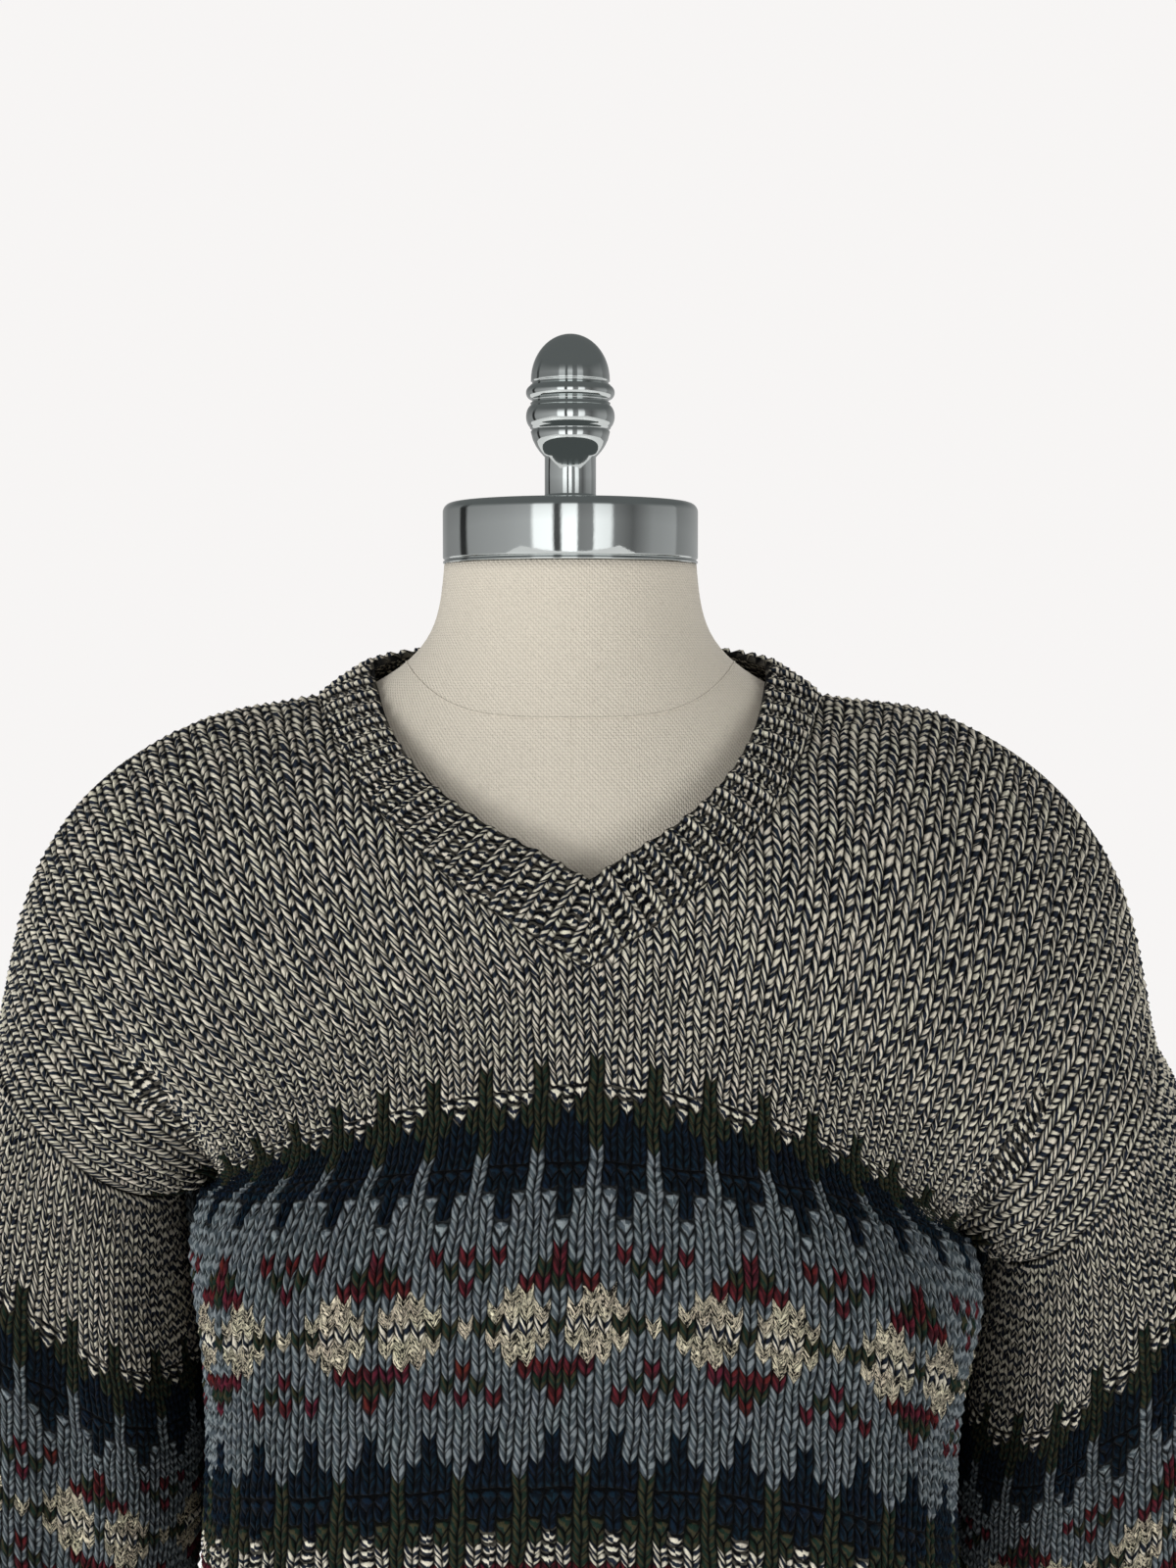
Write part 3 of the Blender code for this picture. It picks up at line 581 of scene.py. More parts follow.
def scaled(tree, colour, factor):
    node = tree.nodes.new("ShaderNodeVectorMath")
    node.operation = "SCALE"
    put(tree, node.inputs[0], colour)
    put(tree, node.inputs["Scale"], factor)
    return node.outputs[0]


def apartFrom(tree, vector):
    node = tree.nodes.new("ShaderNodeSeparateXYZ")
    put(tree, node.inputs[0], vector)
    return node.outputs


def uvGrid(tree, name):
    node = tree.nodes.new("ShaderNodeUVMap")
    node.uv_map = name
    return node.outputs[0]


def attribute(tree, name):
    node = tree.nodes.new("ShaderNodeAttribute")
    node.attribute_name = name
    return node.outputs


def inObject(tree):
    return tree.nodes.new("ShaderNodeTexCoord").outputs["Object"]


def blend(tree, factor, first, second, kind="RGBA"):
    node = tree.nodes.new("ShaderNodeMix")
    node.data_type = kind
    picked = [socket for socket in node.inputs if socket.enabled]
    for socket, value in zip(picked, (factor, first, second)):
        put(tree, socket, value)
    return [socket for socket in node.outputs if socket.enabled][0]


def spread(tree, value, low, high, newLow, newHigh, smooth=False):
    node = tree.nodes.new("ShaderNodeMapRange")
    if smooth:
        node.interpolation_type = "SMOOTHSTEP"
    for socket, number in zip(node.inputs, (value, low, high, newLow, newHigh)):
        put(tree, socket, number)
    return node.outputs[0]


def noise(tree, vector, scale, detail=2.0, roughness=0.5, distortion=0.0):
    node = tree.nodes.new("ShaderNodeTexNoise")
    fill(tree, node, {"Vector": vector, "Scale": scale, "Detail": detail})
    fill(tree, node, {"Roughness": roughness, "Distortion": distortion})
    return node.outputs["Fac"]


yarnTwist = {
    "legDome": 1.9,
    "beadAcross": 1.3,
    "beadAlong": 1.6,
    "leg": (1.35, 0.42),
    "bead": (1.5, 0.7),
    "bend": 0.9,
    "luck": 0.85,
    "plyEdges": (-0.40, 0.60),
    "curlEdges": (0.44, 0.53),
    "curlHeights": (0.36, 0.60, 0.2, 1.1),
    "plyHeight": 0.10,
    "fibreHeight": 0.22,
}


def makeStitchGroup():
    # one stitch: its height, which ply shows, its own chance and its fibres
    tree, given, result = newGroup(
        "stitchShape",
        [("Grid", "Vector"), ("Purl", "Float"), ("Curl", "Float")],
        [("Height", "Float"), ("Ply", "Float"), ("Chance", "Float"), ("Fibre", "Float")],
    )
    grid, purl, curl = (given.outputs[label] for label in ("Grid", "Purl", "Curl"))
    twist = yarnTwist
    u, v, _ = apartFrom(tree, grid)
    across, along = calc(tree, "FRACT", u), calc(tree, "FRACT", v)
    legs = times(tree, u, 2.0)
    leg = calc(tree, "FRACT", legs)
    cell = tree.nodes.new("ShaderNodeCombineXYZ")
    put(tree, cell.inputs[0], calc(tree, "FLOOR", legs))
    put(tree, cell.inputs[1], calc(tree, "FLOOR", v))
    chance = fill(tree, tree.nodes.new("ShaderNodeTexWhiteNoise"), {"Vector": cell.outputs[0]})
    luck = chance.outputs["Value"]

    def dome(value, power):
        # 1 in the middle of 0 to 1, 0 at both ends
        off = calc(tree, "ABSOLUTE", calc(tree, "MULTIPLY_ADD", value, 2.0, -1.0))
        return calc(tree, "SUBTRACT", 1.0, calc(tree, "POWER", off, power))

    def root(value):
        return calc(tree, "SQRT", calc(tree, "MAXIMUM", value, 0.0))

    def wound(part, turns):
        return plus(tree, times(tree, along, turns[0]), times(tree, part, turns[1]))

    roundness = calc(tree, "MULTIPLY_ADD", root(dome(along, 2.0)), 0.7, 0.3)
    legDome = calc(tree, "MULTIPLY_ADD", dome(leg, twist["legDome"]), 0.95, 0.05)
    beadAcross = calc(tree, "MULTIPLY_ADD", dome(across, 2.0), twist["beadAcross"], 1 - twist["beadAcross"])
    beadAlong = times(tree, calc(tree, "SUBTRACT", dome(along, 2.0), 1.0), twist["beadAlong"])
    bead = root(plus(tree, beadAcross, beadAlong))
    height = blend(tree, purl, times(tree, roundness, legDome), bead, "FLOAT")
    turn = blend(tree, purl, wound(leg, twist["leg"]), wound(across, twist["bead"]), "FLOAT")
    turn = plus(tree, turn, times(tree, noise(tree, grid, 1.7, 3.0), twist["bend"]))
    turn = plus(tree, turn, times(tree, luck, twist["luck"]))
    wave = calc(tree, "SINE", times(tree, turn, 2 * math.pi))
    ply = spread(tree, wave, *twist["plyEdges"], 0.0, 1.0, smooth=True)
    curls = noise(tree, grid, 2.7, 3.0, 0.6, 2.5)
    curlPly = spread(tree, curls, *twist["curlEdges"], 0.0, 1.0, smooth=True)
    ply = blend(tree, curl, ply, curlPly, "FLOAT")
    height = blend(tree, curl, height, spread(tree, curls, *twist["curlHeights"]), "FLOAT")
    fibres = noise(tree, grid, 11.0, 3.0, 0.7)
    total = plus(tree, height, times(tree, ply, twist["plyHeight"]))
    total = plus(tree, total, times(tree, fibres, twist["fibreHeight"]))
    fill(tree, result, {"Height": total, "Ply": ply, "Chance": luck, "Fibre": fibres})
    return tree


def makeUnevenTone():
    # faint uneven tone over a surface, in object space
    tree, given, result = newGroup(
        "unevenTone",
        [("Colour", "Color"), ("Scale", "Float"), ("Amount", "Float")],
        [("Colour", "Color")],
    )
    patches = noise(tree, inObject(tree), given.outputs["Scale"], 4.0)
    swing = times(tree, calc(tree, "SUBTRACT", patches, 0.5), given.outputs["Amount"])
    fill(tree, result, {"Colour": scaled(tree, given.outputs["Colour"], plus(tree, 1.0, swing))})
    return tree


def newMaterial(name, colour, roughness, metallic=0.0):
    made = bpy.data.materials.new(name)
    made.use_nodes = True
    tree = made.node_tree
    shader = tree.nodes["Principled BSDF"]
    fill(tree, shader, {"Base Color": (*colour, 1), "Roughness": roughness, "Metallic": metallic})
    return made, tree, shader


def useGroup(tree, group, **values):
    node = tree.nodes.new("ShaderNodeGroup")
    node.node_tree = group
    return fill(tree, node, values).outputs


def addBump(tree, shader, height, distance, strength=1.0):
    bump = tree.nodes.new("ShaderNodeBump")
    fill(tree, bump, {"Strength": strength, "Distance": distance, "Height": height})
    fill(tree, shader, {"Normal": bump.outputs["Normal"]})


stitchShape = makeStitchGroup()
unevenTone = makeUnevenTone()
print("node groups made")


# valley and crest: how far the yarn colour is darkened in the stitch valleys and lifted on the crests, as
# painted shade and painted highlight
knitLook = {
    "roughness": 0.92,
    "sheen": 0.02,
    "specular": 0.10,
    "bump": 0.0030,
    "valley": 0.09,
    "crest": 1.12,
    "fibres": (0.76, 1.28),
    "heather": 0.02,
}


def makeKnitMaterial():
    look = knitLook
    made, tree, shader = newMaterial("marledWoolKnit", (0.3, 0.27, 0.22), look["roughness"])
    grid = uvGrid(tree, "stitches")
    light, dark = attribute(tree, "plyLight"), attribute(tree, "plyDark")
    shape = useGroup(tree, stitchShape, Grid=grid, Purl=light["Alpha"], Curl=dark["Alpha"])
    colour = blend(tree, shape["Ply"], dark["Color"], light["Color"])
    # painted shade and painted highlight: the yarn colour darkened down into the valleys between legs, beads
    # and curls and lifted on their crests, by the stitch height
    deep = spread(tree, shape["Height"], 0.28, 1.0, look["valley"], look["crest"], smooth=True)
    swing = calc(tree, "MULTIPLY_ADD", shape["Chance"], 0.16, 0.92)
    swing = times(tree, swing, spread(tree, shape["Fibre"], 0.32, 0.68, *look["fibres"]))
    toned = scaled(tree, colour, times(tree, deep, swing))
    uneven = useGroup(tree, unevenTone, Colour=toned, Scale=9.0, Amount=0.25)
    hue = tree.nodes.new("ShaderNodeHueSaturation")
    heather = noise(tree, grid, 0.45, 3.0)
    hues = spread(tree, heather, 0.3, 0.7, 0.5 - look["heather"], 0.5 + look["heather"])
    fill(tree, hue, {"Hue": hues, "Color": uneven[0]})
    fill(tree, shader, {"Base Color": hue.outputs[0], "Specular IOR Level": look["specular"]})
    fill(tree, shader, {"Sheen Weight": look["sheen"], "Sheen Roughness": 0.5})
    addBump(tree, shader, shape["Height"], look["bump"])
    return made


knitMaterial = makeKnitMaterial()


# what most knitted pieces share, and how far from an edge a stitch without one counts

farFromEdge = 9.0
plainPiece = {
    "drift": 0.0,
    "slant": 1.0,
    "relief": 1.0,
    "closed": True,
    "ribs": lambda wale, across, course: 0.0,
    "cut": lambda course, column, columns: np.zeros(len(course), dtype=bool),
}


# the two panels

rowDepths = [(34, 0.180), (44.5, 0.240), (53.5, 0.2985), (60, 0.340), (68.5, 0.395), (115, 0.63)]
panel = {
    "wales": 40,
    "courses": 115,
    "bandStart": 34,
    "depths": {
        front: [(0, 0), (27, 0.141), *rowDepths],
        back: [(0, 0), (10, 0.050), *rowDepths],
    },
    "liningWales": [15, 20, 25, 30, 35, 40],
    "liningCourses": [0, 6, 12, 18, 24, 30, 36, 44, 52, 60, 70, 80, 90, 100, 108, 115],
}


def panelBase(face):
    def base(place, depth):
        at = np.empty((*place.shape, 3))
        onRight = place * -face >= 0
        for half, mine in ((right, onRight), (left, ~onRight)):
            if mine.any():
                share = np.abs(place[mine]) / panel["wales"]
                at[mine] = bodyPoints(half, face, np.clip(depth[mine], 0, sweater["garmentLength"]), share)
        return at

    return base


def inParts(base, parts=10):
    # the same surface, worked out a few rows at a time
    def worked(place, depth):
        blocks = zip(np.array_split(place, parts), np.array_split(depth, parts))
        return np.concatenate([base(p, d) for p, d in blocks])

    return worked


def panelPiece(face):
    wales, courses, depths = panel["wales"], panel["courses"], panel["depths"][face]
    neckPoint, length = sweater["neckPoint"][face], sweater["panelLength"]

    def fit(place, depth, plain):
        # rows above the neck point start on the neck's edge
        side = np.where(np.arange(place.shape[1]) < place.shape[1] // 2, -1.0, 1.0)
        first = neckShare(face, plain) * wales
        held = (first > 0) & (side * place < first)
        depth = np.where(held, plain, depth)
        start = neckShare(face, depth) * wales
        place = np.where(start > 0, side * np.maximum(side * place, start), place)
        place = np.clip(place, -wales, wales)
        fromNeck = np.where(depth < neckPoint, np.abs(place) - start, farFromEdge)
        edge = np.minimum(wales - np.abs(place), fromNeck)
        return place, depth, edge

    def cut(course, column, columns):
        # the gap between the two sides of the neck
        depth = lookUp(depths, course)
        return (column == columns // 2 - 1) & (depth <= neckPoint + 0.0001)

    def lining():
        lowest = lookUp([pair[::-1] for pair in depths], neckPoint)
        tops = lookUp(depths, np.linspace(lowest, 0, 10))
        starts = neckShare(face, tops) * wales
        starts[0] = 0
        columns = np.concatenate([starts, panel["liningWales"]])
        tops = np.concatenate([tops, np.zeros(len(panel["liningWales"]))])
        down = lookUp(depths, panel["liningCourses"])
        depth = down[:, None] + tops[None, :] * (1 - down[:, None] / length)
        depth = np.concatenate([depth[:, :0:-1], depth], axis=1)
        place = np.concatenate([-columns[:0:-1], columns])[None, :] + 0 * depth
        at, normal = surfaceAndNormal(panelBase(face), place, depth, length, wales - 1)
        course = np.array(panel["liningCourses"])[:, None] + 0 * depth
        return at, normal, place, course

    return {
        **plainPiece,
        "waleRange": (-wales, wales),
        "courses": courses,
        "drift": 1.0,
        "freedom": lambda wale: ease(wales - np.abs(wale), 0.5, 3),
        "depths": depths,
        "closed": False,
        "fit": fit,
        "surface": knitSurface(inParts(panelBase(face)), length, wales - 1),
        "letters": lambda wale, course: chartLetters(wale, course, panel["bandStart"]),
        "cut": cut,
        "lining": lining,
    }


frontKnit = knittedPiece("frontKnit", panelPiece(front), knitMaterial)
backKnit = knittedPiece("backKnit", panelPiece(back), knitMaterial)
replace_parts(frontKnit, "front")
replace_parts(backKnit, "back")
print("panels made")


# the two sleeves, whose stitches go under the arm as the sleeve narrows

sleeve = {
    "wales": 36,
    "courses": 72,
    "bandStart": 13,
    "rise": 0.024,
    "depths": [(0, 0), (13, 0.0676), (27, 0.1404), (38, 0.2108), (50, 0.2792), (72, 0.40)],
    "turn": 20,
    "held": [(0.0, 36), (0.20, 36), (0.30, 32), (0.37, 28), (0.40, 24)],
    "liningCourses": [0, 3, 7, 12, 18, 25, 32, 40, 48, 56, 63, 68, 72],
}


def sleeveBase(half):
    def base(place, depth):
        at = np.empty((*place.shape, 3))
        held = lookUp(sleeve["held"], depth)
        angle = math.pi * np.clip(np.abs(place) / held, 0, 1)
        rise = sleeve["rise"] * ease(depth, 0.0, 0.10) * (1 - ease(depth, 0.22, sweater["sleeveLength"]))
        depth = depth - rise * (0.5 + 0.5 * np.cos(angle))
        onFront = place * half < 0
        for face, mine in ((front, onFront), (back, ~onFront)):
            at[mine] = sleevePoints(half, face, depth[mine], angle[mine])
        return at

    return base


def sleevePiece(half):
    wales, length, turn = sleeve["wales"], sweater["sleeveLength"], sleeve["turn"]

    def fit(place, depth, plain):
        side = np.where(place < 0, -1.0, 1.0)
        held = lookUp(sleeve["held"], plain)
        edge = held - np.abs(place)
        depth = np.where(edge <= 0, plain, depth)
        held = lookUp(sleeve["held"], depth)
        place = side * np.minimum(np.abs(place), held)
        return place, depth, edge

    def lining():
        columns = np.linspace(-wales, wales, 25)
        down = lookUp(sleeve["depths"], sleeve["liningCourses"])
        depth = down[:, None] + 0 * columns[None, :]
        place = columns[None, :] * lookUp(sleeve["held"], depth) / wales
        at, normal = surfaceAndNormal(sleeveBase(half), place, depth, length, turn)
        course = np.array(sleeve["liningCourses"])[:, None] + 0 * depth
        return at, normal, place, course

    return {
        **plainPiece,
        "waleRange": (-wales, wales),
        "courses": sleeve["courses"],
        "freedom": lambda wale: ease(wales - np.abs(wale), 0.5, 3),
        "depths": sleeve["depths"],
        "fit": fit,
        "surface": knitSurface(sleeveBase(half), length, turn),
        "letters": lambda wale, course: chartLetters(wale, course, sleeve["bandStart"]),
        "lining": lining,
    }


sleeveRight = knittedPiece("sleeveRightKnit", sleevePiece(right), knitMaterial)
sleeveLeft = knittedPiece("sleeveLeftKnit", sleevePiece(left), knitMaterial)
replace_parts(sleeveRight, "sleeve_right")
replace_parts(sleeveLeft, "sleeve_left")
print("sleeves made")


# ribbing: a knit and a purl wale in turn

ribbing = {"height": 0.0022, "valley": -0.0010, "relief": 0.8, "slant": 0.8, "neverTurn": 1e9}


def ribHeight(wale, across, course):
    knit = np.mod(np.floor(wale + 1e-6), 2) == 0
    bow = np.sin(math.pi * across)
    return np.where(knit, ribbing["height"] * bow, ribbing["valley"] * bow)


def ribLetters(wale, course):
    return np.where(np.mod(wale, 2) == 0, "M", "m")


def ribPiece(wales, courses, depths, surface, lining, start=0):
    return {
        **plainPiece,
        "waleRange": (start, start + wales),
        "courses": courses,
        "slant": ribbing["slant"],
        "relief": ribbing["relief"],
        "freedom": lambda wale: ease(wale - start, 0.5, 3) * ease(start + wales - wale, 0.5, 3),
        "depths": depths,
        "fit": lambda place, depth, plain: (place, depth, farFromEdge + 0 * place),
        "surface": surface,
        "ribs": ribHeight,
        "letters": ribLetters,
        "lining": lining,
    }


hem = {"quarter": 44, "courses": 13, "normalsTurn": 0.5, "liningSteps": 8, "liningCourses": [0, 7, 13]}


def hemBase(place, depth):
    # once round: right front, right back, left back, left front
    quarter = hem["quarter"]
    place = np.mod(place, 4 * quarter)
    at = np.empty((*place.shape, 3))
    part = np.floor(place / quarter + 1e-9).astype(int) % 4
    into = place / quarter - part
    runs = ((right, front, into), (right, back, 1 - into), (left, back, into), (left, front, 1 - into))
    for number, (half, face, share) in enumerate(runs):
        mine = part == number
        if mine.any():
            down = np.clip(depth[mine], 0, sweater["garmentLength"])
            at[mine] = bodyPoints(half, face, down, np.clip(share[mine], 0, 1))
    return at


def ringLining(surface, wales, steps, courses, depths, start=0):
    def lining():
        columns = np.linspace(start, start + wales, steps + 1)
        depth = lookUp(depths, courses)[:, None] + 0 * columns[None, :]
        place = columns[None, :] + 0 * depth
        at, normal = surface(place, depth)
        return at, normal, place, np.array(courses)[:, None] + 0 * depth

    return lining


def makeHem():
    wales = 4 * hem["quarter"]
    depths = [(0, sweater["panelLength"]), (hem["courses"], sweater["garmentLength"])]
    surface = knitSurface(hemBase, hem["normalsTurn"], ribbing["neverTurn"])
    lining = ringLining(surface, wales, 4 * hem["liningSteps"], hem["liningCourses"], depths)
    piece = ribPiece(wales, hem["courses"], depths, surface, lining)
    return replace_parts(knittedPiece("hemRibKnit", piece, knitMaterial), "hem_rib")


hemKnit = makeHem()

cuff = {"wales": 42, "courses": 13, "normalsTurn": 0.3, "liningSteps": 24, "liningCourses": [0, 2, 6, 13]}


def cuffBase(half):
    def base(place, depth):
        at = np.empty((*place.shape, 3))
        turned = np.mod(place / cuff["wales"] + 0.5, 1) * 2 - 1
        onFront = turned * half < 0
        for face, mine in ((front, onFront), (back, ~onFront)):
            down = np.clip(depth[mine], 0, sweater["sleeveAndCuff"])
            at[mine] = sleevePoints(half, face, down, math.pi * np.abs(turned[mine]))
        return at

    return base


def makeCuff(half, name, node):
    courses, first = cuff["courses"], cuff["wales"] // 2
    depths = [(0, sweater["sleeveLength"]), (2, 0.410), (6, 0.430), (courses, sweater["sleeveAndCuff"])]
    surface = knitSurface(cuffBase(half), cuff["normalsTurn"], ribbing["neverTurn"])
    lining = ringLining(surface, cuff["wales"], cuff["liningSteps"], cuff["liningCourses"], depths, first)
    piece = ribPiece(cuff["wales"], courses, depths, surface, lining, first)
    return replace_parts(knittedPiece(name, piece, knitMaterial), node)


cuffRight = makeCuff(right, "cuffRightKnit", "cuff_right")
cuffLeft = makeCuff(left, "cuffLeftKnit", "cuff_left")
print("hem and cuffs made")


# the neckband, whose ribs stand square to the edge and meet in a mitre at the V

band = {"wales": 60, "courses": 6, "mitre": 0.019, "crown": 0.0014, "scallop": 0.0014, "liningSteps": 60}


def bandCurve(half, inner):
    # seam or free edge from the V point over the shoulder to the centre back, by its length
    v = [np.linspace(sweater["neckPoint"][front], 0, 120), np.linspace(0, sweater["neckPoint"][back], 60)[1:]]
    run = np.concatenate([neckEdge(half, face, part, inner) for face, part in zip((front, back), v)])
    length = np.concatenate([[0], np.linalg.norm(np.diff(run, axis=0), axis=1).cumsum()])
    return run, length


bandEdges = {(half, inner): bandCurve(half, inner) for half in (right, left) for inner in (False, True)}


def alongCurve(curve, at):
    run, length = curve
    return np.stack([np.interp(at, length, run[:, axis]) for axis in range(3)], axis=-1)


def bandBase(place, depth):
    # depth 0 at the seam, 1 at the free edge; the right half first, then the left half back to the V
    wales = band["wales"]
    at = np.empty((*place.shape, 3))
    onRight = place <= wales
    for half, mine in ((right, onRight), (left, ~onRight)):
        seam, free = bandEdges[half, False], bandEdges[half, True]
        whole, mitre = seam[1][-1], band["mitre"]
        steps = place[mine] if half == right else 2 * wales - place[mine]
        share = np.clip(steps / wales, 0, 1) * whole
        up = np.clip(depth[mine], 0, 1)
        share = np.maximum(share, up * mitre)
        onFree = np.clip((share - mitre) / (whole - mitre), 0, 1) * free[1][-1]
        rise = alongCurve(free, onFree) - alongCurve(seam, np.maximum(share, mitre))
        at[mine] = alongCurve(seam, share) + up[..., None] * rise
    return at


def pastMitre(place, depth):
    # wales between a stitch and the mitre, none where the mitre has cut it off
    fromPoint = np.minimum(place, 2 * band["wales"] - place)
    return fromPoint - np.clip(depth, 0, 1) * band["mitre"] / bandEdges[right, False][1][-1] * band["wales"]


def bandFacing(place, depth):
    inside = np.clip(place, 6, 2 * band["wales"] - 6)
    aside = bandBase(inside + 0.5, depth) - bandBase(inside - 0.5, depth)
    rise = bandBase(inside, 1.0 + 0 * depth) - bandBase(inside, 0 * depth)
    return unit(np.cross(aside, rise))


def bandSurface(place, depth):
    at, normal = bandBase(place, depth), bandFacing(place, depth)
    middle = unit(bandFacing(0 * place, depth) + bandFacing(0 * place + 2 * band["wales"], depth))
    near = ease(pastMitre(place, depth), 0.0, 1.0)[..., None]
    normal = unit(near * normal + (1 - near) * middle)
    crown = band["crown"] * np.sin(math.pi * np.clip(depth, 0, 1))
    rib = 0.5 + 0.5 * np.cos(math.pi * (place - 0.5))
    scallop = band["scallop"] * (rib - 0.5) * ease(depth, 0.6, 1.0) * near[..., 0]
    outward = unit(bandBase(place, 1.0 + 0 * depth) - bandBase(place, 0 * depth))
    return at + crown[..., None] * normal + scallop[..., None] * outward, normal


def makeBand():
    wales, depths = 2 * band["wales"], [(0, 0.0), (band["courses"], 1.0)]
    lining = ringLining(bandSurface, wales, band["liningSteps"], [0, 3, 6], depths)
    piece = ribPiece(wales, band["courses"], depths, bandSurface, lining)
    piece["freedom"] = lambda wale: 0.0 * wale
    piece["fit"] = lambda place, depth, plain: (place, depth, pastMitre(place, plain))
    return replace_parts(knittedPiece("neckbandKnit", piece, knitMaterial), "neckband")


neckbandKnit = makeBand()
print("neckband made")


# a turned piece: its outline runs from the axis at the top, down its outer side, to the axis below


def arc(middle, high, wide, tall, start, end, steps):
    turns = [math.radians(start + (end - start) * i / (steps - 1)) for i in range(steps)]
    return [(middle + wide * math.cos(turn), high + tall * math.sin(turn)) for turn in turns]


def turnedPiece(name, outline, lift, material, steps=96):
    bm = bmesh.new()
    verts = [bm.verts.new((r, 0, z + lift)) for r, z in outline]
    for a, b in zip(verts, verts[1:]):
        bm.edges.new((a, b))
    around = {"cent": (0, 0, 0), "axis": (0, 0, 1), "angle": 2 * math.pi, "steps": steps}
    bmesh.ops.spin(bm, geom=bm.verts[:] + bm.edges[:], use_merge=True, **around)
    bmesh.ops.remove_doubles(bm, verts=bm.verts, dist=0.00001)
    bmesh.ops.recalc_face_normals(bm, faces=bm.faces)
    return finished(name, meshFrom(bm, name), material)


def makeChromeMaterial(name, colour, roughness, streak):
    made, tree, shader = newMaterial(name, colour, roughness, 1.0)
    place = inObject(tree)
    wear = noise(tree, place, 60.0, 5.0, 0.6)
    fill(tree, shader, {"Roughness": spread(tree, wear, 0.35, 0.75, roughness, roughness + streak)})
    fine = noise(tree, place, 420.0, 3.0, 0.6)
    addBump(tree, shader, fine, 0.00004, 0.25)
    return made


chromeMaterial = makeChromeMaterial("polishedChrome", (0.58, 0.615, 0.61), 0.03, 0.06)
steelMaterial = makeChromeMaterial("satinSteel", (0.50, 0.51, 0.52), 0.26, 0.10)

cap = {"radius": 0.0622, "height": 0.0295, "edge": 0.0045}
finialSizes = {
    "height": 0.0817,
    "gap": 0.0003,
    "flare": 0.0160,
    "stem": 0.0125,
    "stemHead": 0.0222,
    "groove": 0.0187,
}


def makeCapAndFinial():
    radius, height, edge = cap["radius"], cap["height"], cap["edge"]
    outline = [(0, height), (radius - edge - 0.003, height)]
    outline += arc(radius - edge, height - edge, edge, edge, 90, 0, 9)
    outline += arc(radius - 0.0008, 0.0030, 0.0008, 0.0008, 0, -90, 3)
    outline += arc(radius - 0.0008, 0.0008, 0.0008, 0.0008, 90, -90, 5)
    outline += [(radius - 0.004, 0), (0, 0)]
    cover = turnedPiece("capChrome", outline, rimHeight, chromeMaterial)
    sizes = finialSizes
    outline = [(0, sizes["height"])]
    outline += arc(0, 0.0595, 0.0192, sizes["height"] - 0.0595, 86, 0, 16)
    outline += arc(sizes["groove"] + 0.0006, 0.0580, 0.0008, 0.0009, 90, 270, 5)
    outline += arc(0.0186, 0.0533, 0.0030, 0.0034, 62, -62, 9)
    outline += arc(sizes["groove"] + 0.0008, 0.0492, 0.0010, 0.0009, 90, 270, 5)
    outline += arc(0.0180, 0.0418, 0.0036, 0.0058, 70, -60, 11)
    outline += arc(0.0196, 0.0352, 0.0008, 0.0008, 90, 250, 4)
    outline += [(0.0183, 0.0305), (0.0168, 0.0275), (0.0152, 0.0252), (0.0138, 0.0236)]
    outline += [(sizes["stem"], sizes["stemHead"]), (sizes["stem"], 0.0100), (sizes["stem"], 0.0042)]
    outline += arc(sizes["flare"], 0.0042, 0.0035, 0.0026, 180, 250, 6)
    outline += [(sizes["flare"], 0.0012), (sizes["flare"], 0.0), (0, 0)]
    top = turnedPiece("finialChrome", outline, rimHeight + height + sizes["gap"], chromeMaterial)
    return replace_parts(cover, "neck_cap"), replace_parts(top, "finial")


capChrome, finialChrome = makeCapAndFinial()


stand = {
    "radius": 0.170,
    "thickness": 0.012,
    "edge": 0.004,
    "collar": 0.024,
    "collarTop": 0.026,
    "post": 0.0125,
    "bevel": 0.0005,
    "formDrop": 0.70,
    "gap": 0.0003,
}


def makeStand():
    radius, thickness, edge = stand["radius"], stand["thickness"], stand["edge"]
    collar, top = stand["collar"], stand["collarTop"]
    outline = [(0, top), (collar - 0.003, top)]
    outline += arc(collar - 0.002, top - 0.002, 0.002, 0.002, 90, 0, 5)
    outline += arc(collar + 0.004, thickness + 0.004, 0.004, 0.004, 180, 270, 5)
    outline += arc(radius - edge, thickness - edge, edge, edge, 90, 0, 7)
    outline += arc(radius - 0.001, 0.001, 0.001, 0.001, 0, -90, 3) + [(0, 0)]
    foot = turnedPiece("baseChrome", outline, 0, chromeMaterial, 128)
    low, high = top + stand["gap"], rimHeight - stand["formDrop"] - stand["gap"]
    side, bevel = stand["post"], stand["bevel"]
    outline = [(0, high), (side - bevel, high), (side, high - bevel), (side, low), (0, low)]
    post = turnedPiece("postSteel", outline, 0, steelMaterial, 48)
    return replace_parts(foot, "stand_base"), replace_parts(post, "stand_post")


baseChrome, postSteel = makeStand()
print("chrome parts and stand made")


# the linen cover of the form, over the solid's own shape, with its seams

linen = {
    "thread": 0.00125,
    "colour": (193, 185, 171),
    "welt": 0.0005,
    "neckSeam": {
        "wide": 0.079,
        "z": -0.0475,
        "front": 0.070,
        "frontZ": -0.073,
        "back": 0.069,
        "backZ": -0.048,
    },
    "ridge": 4,
    "frontSeamX": 0.0002,
}


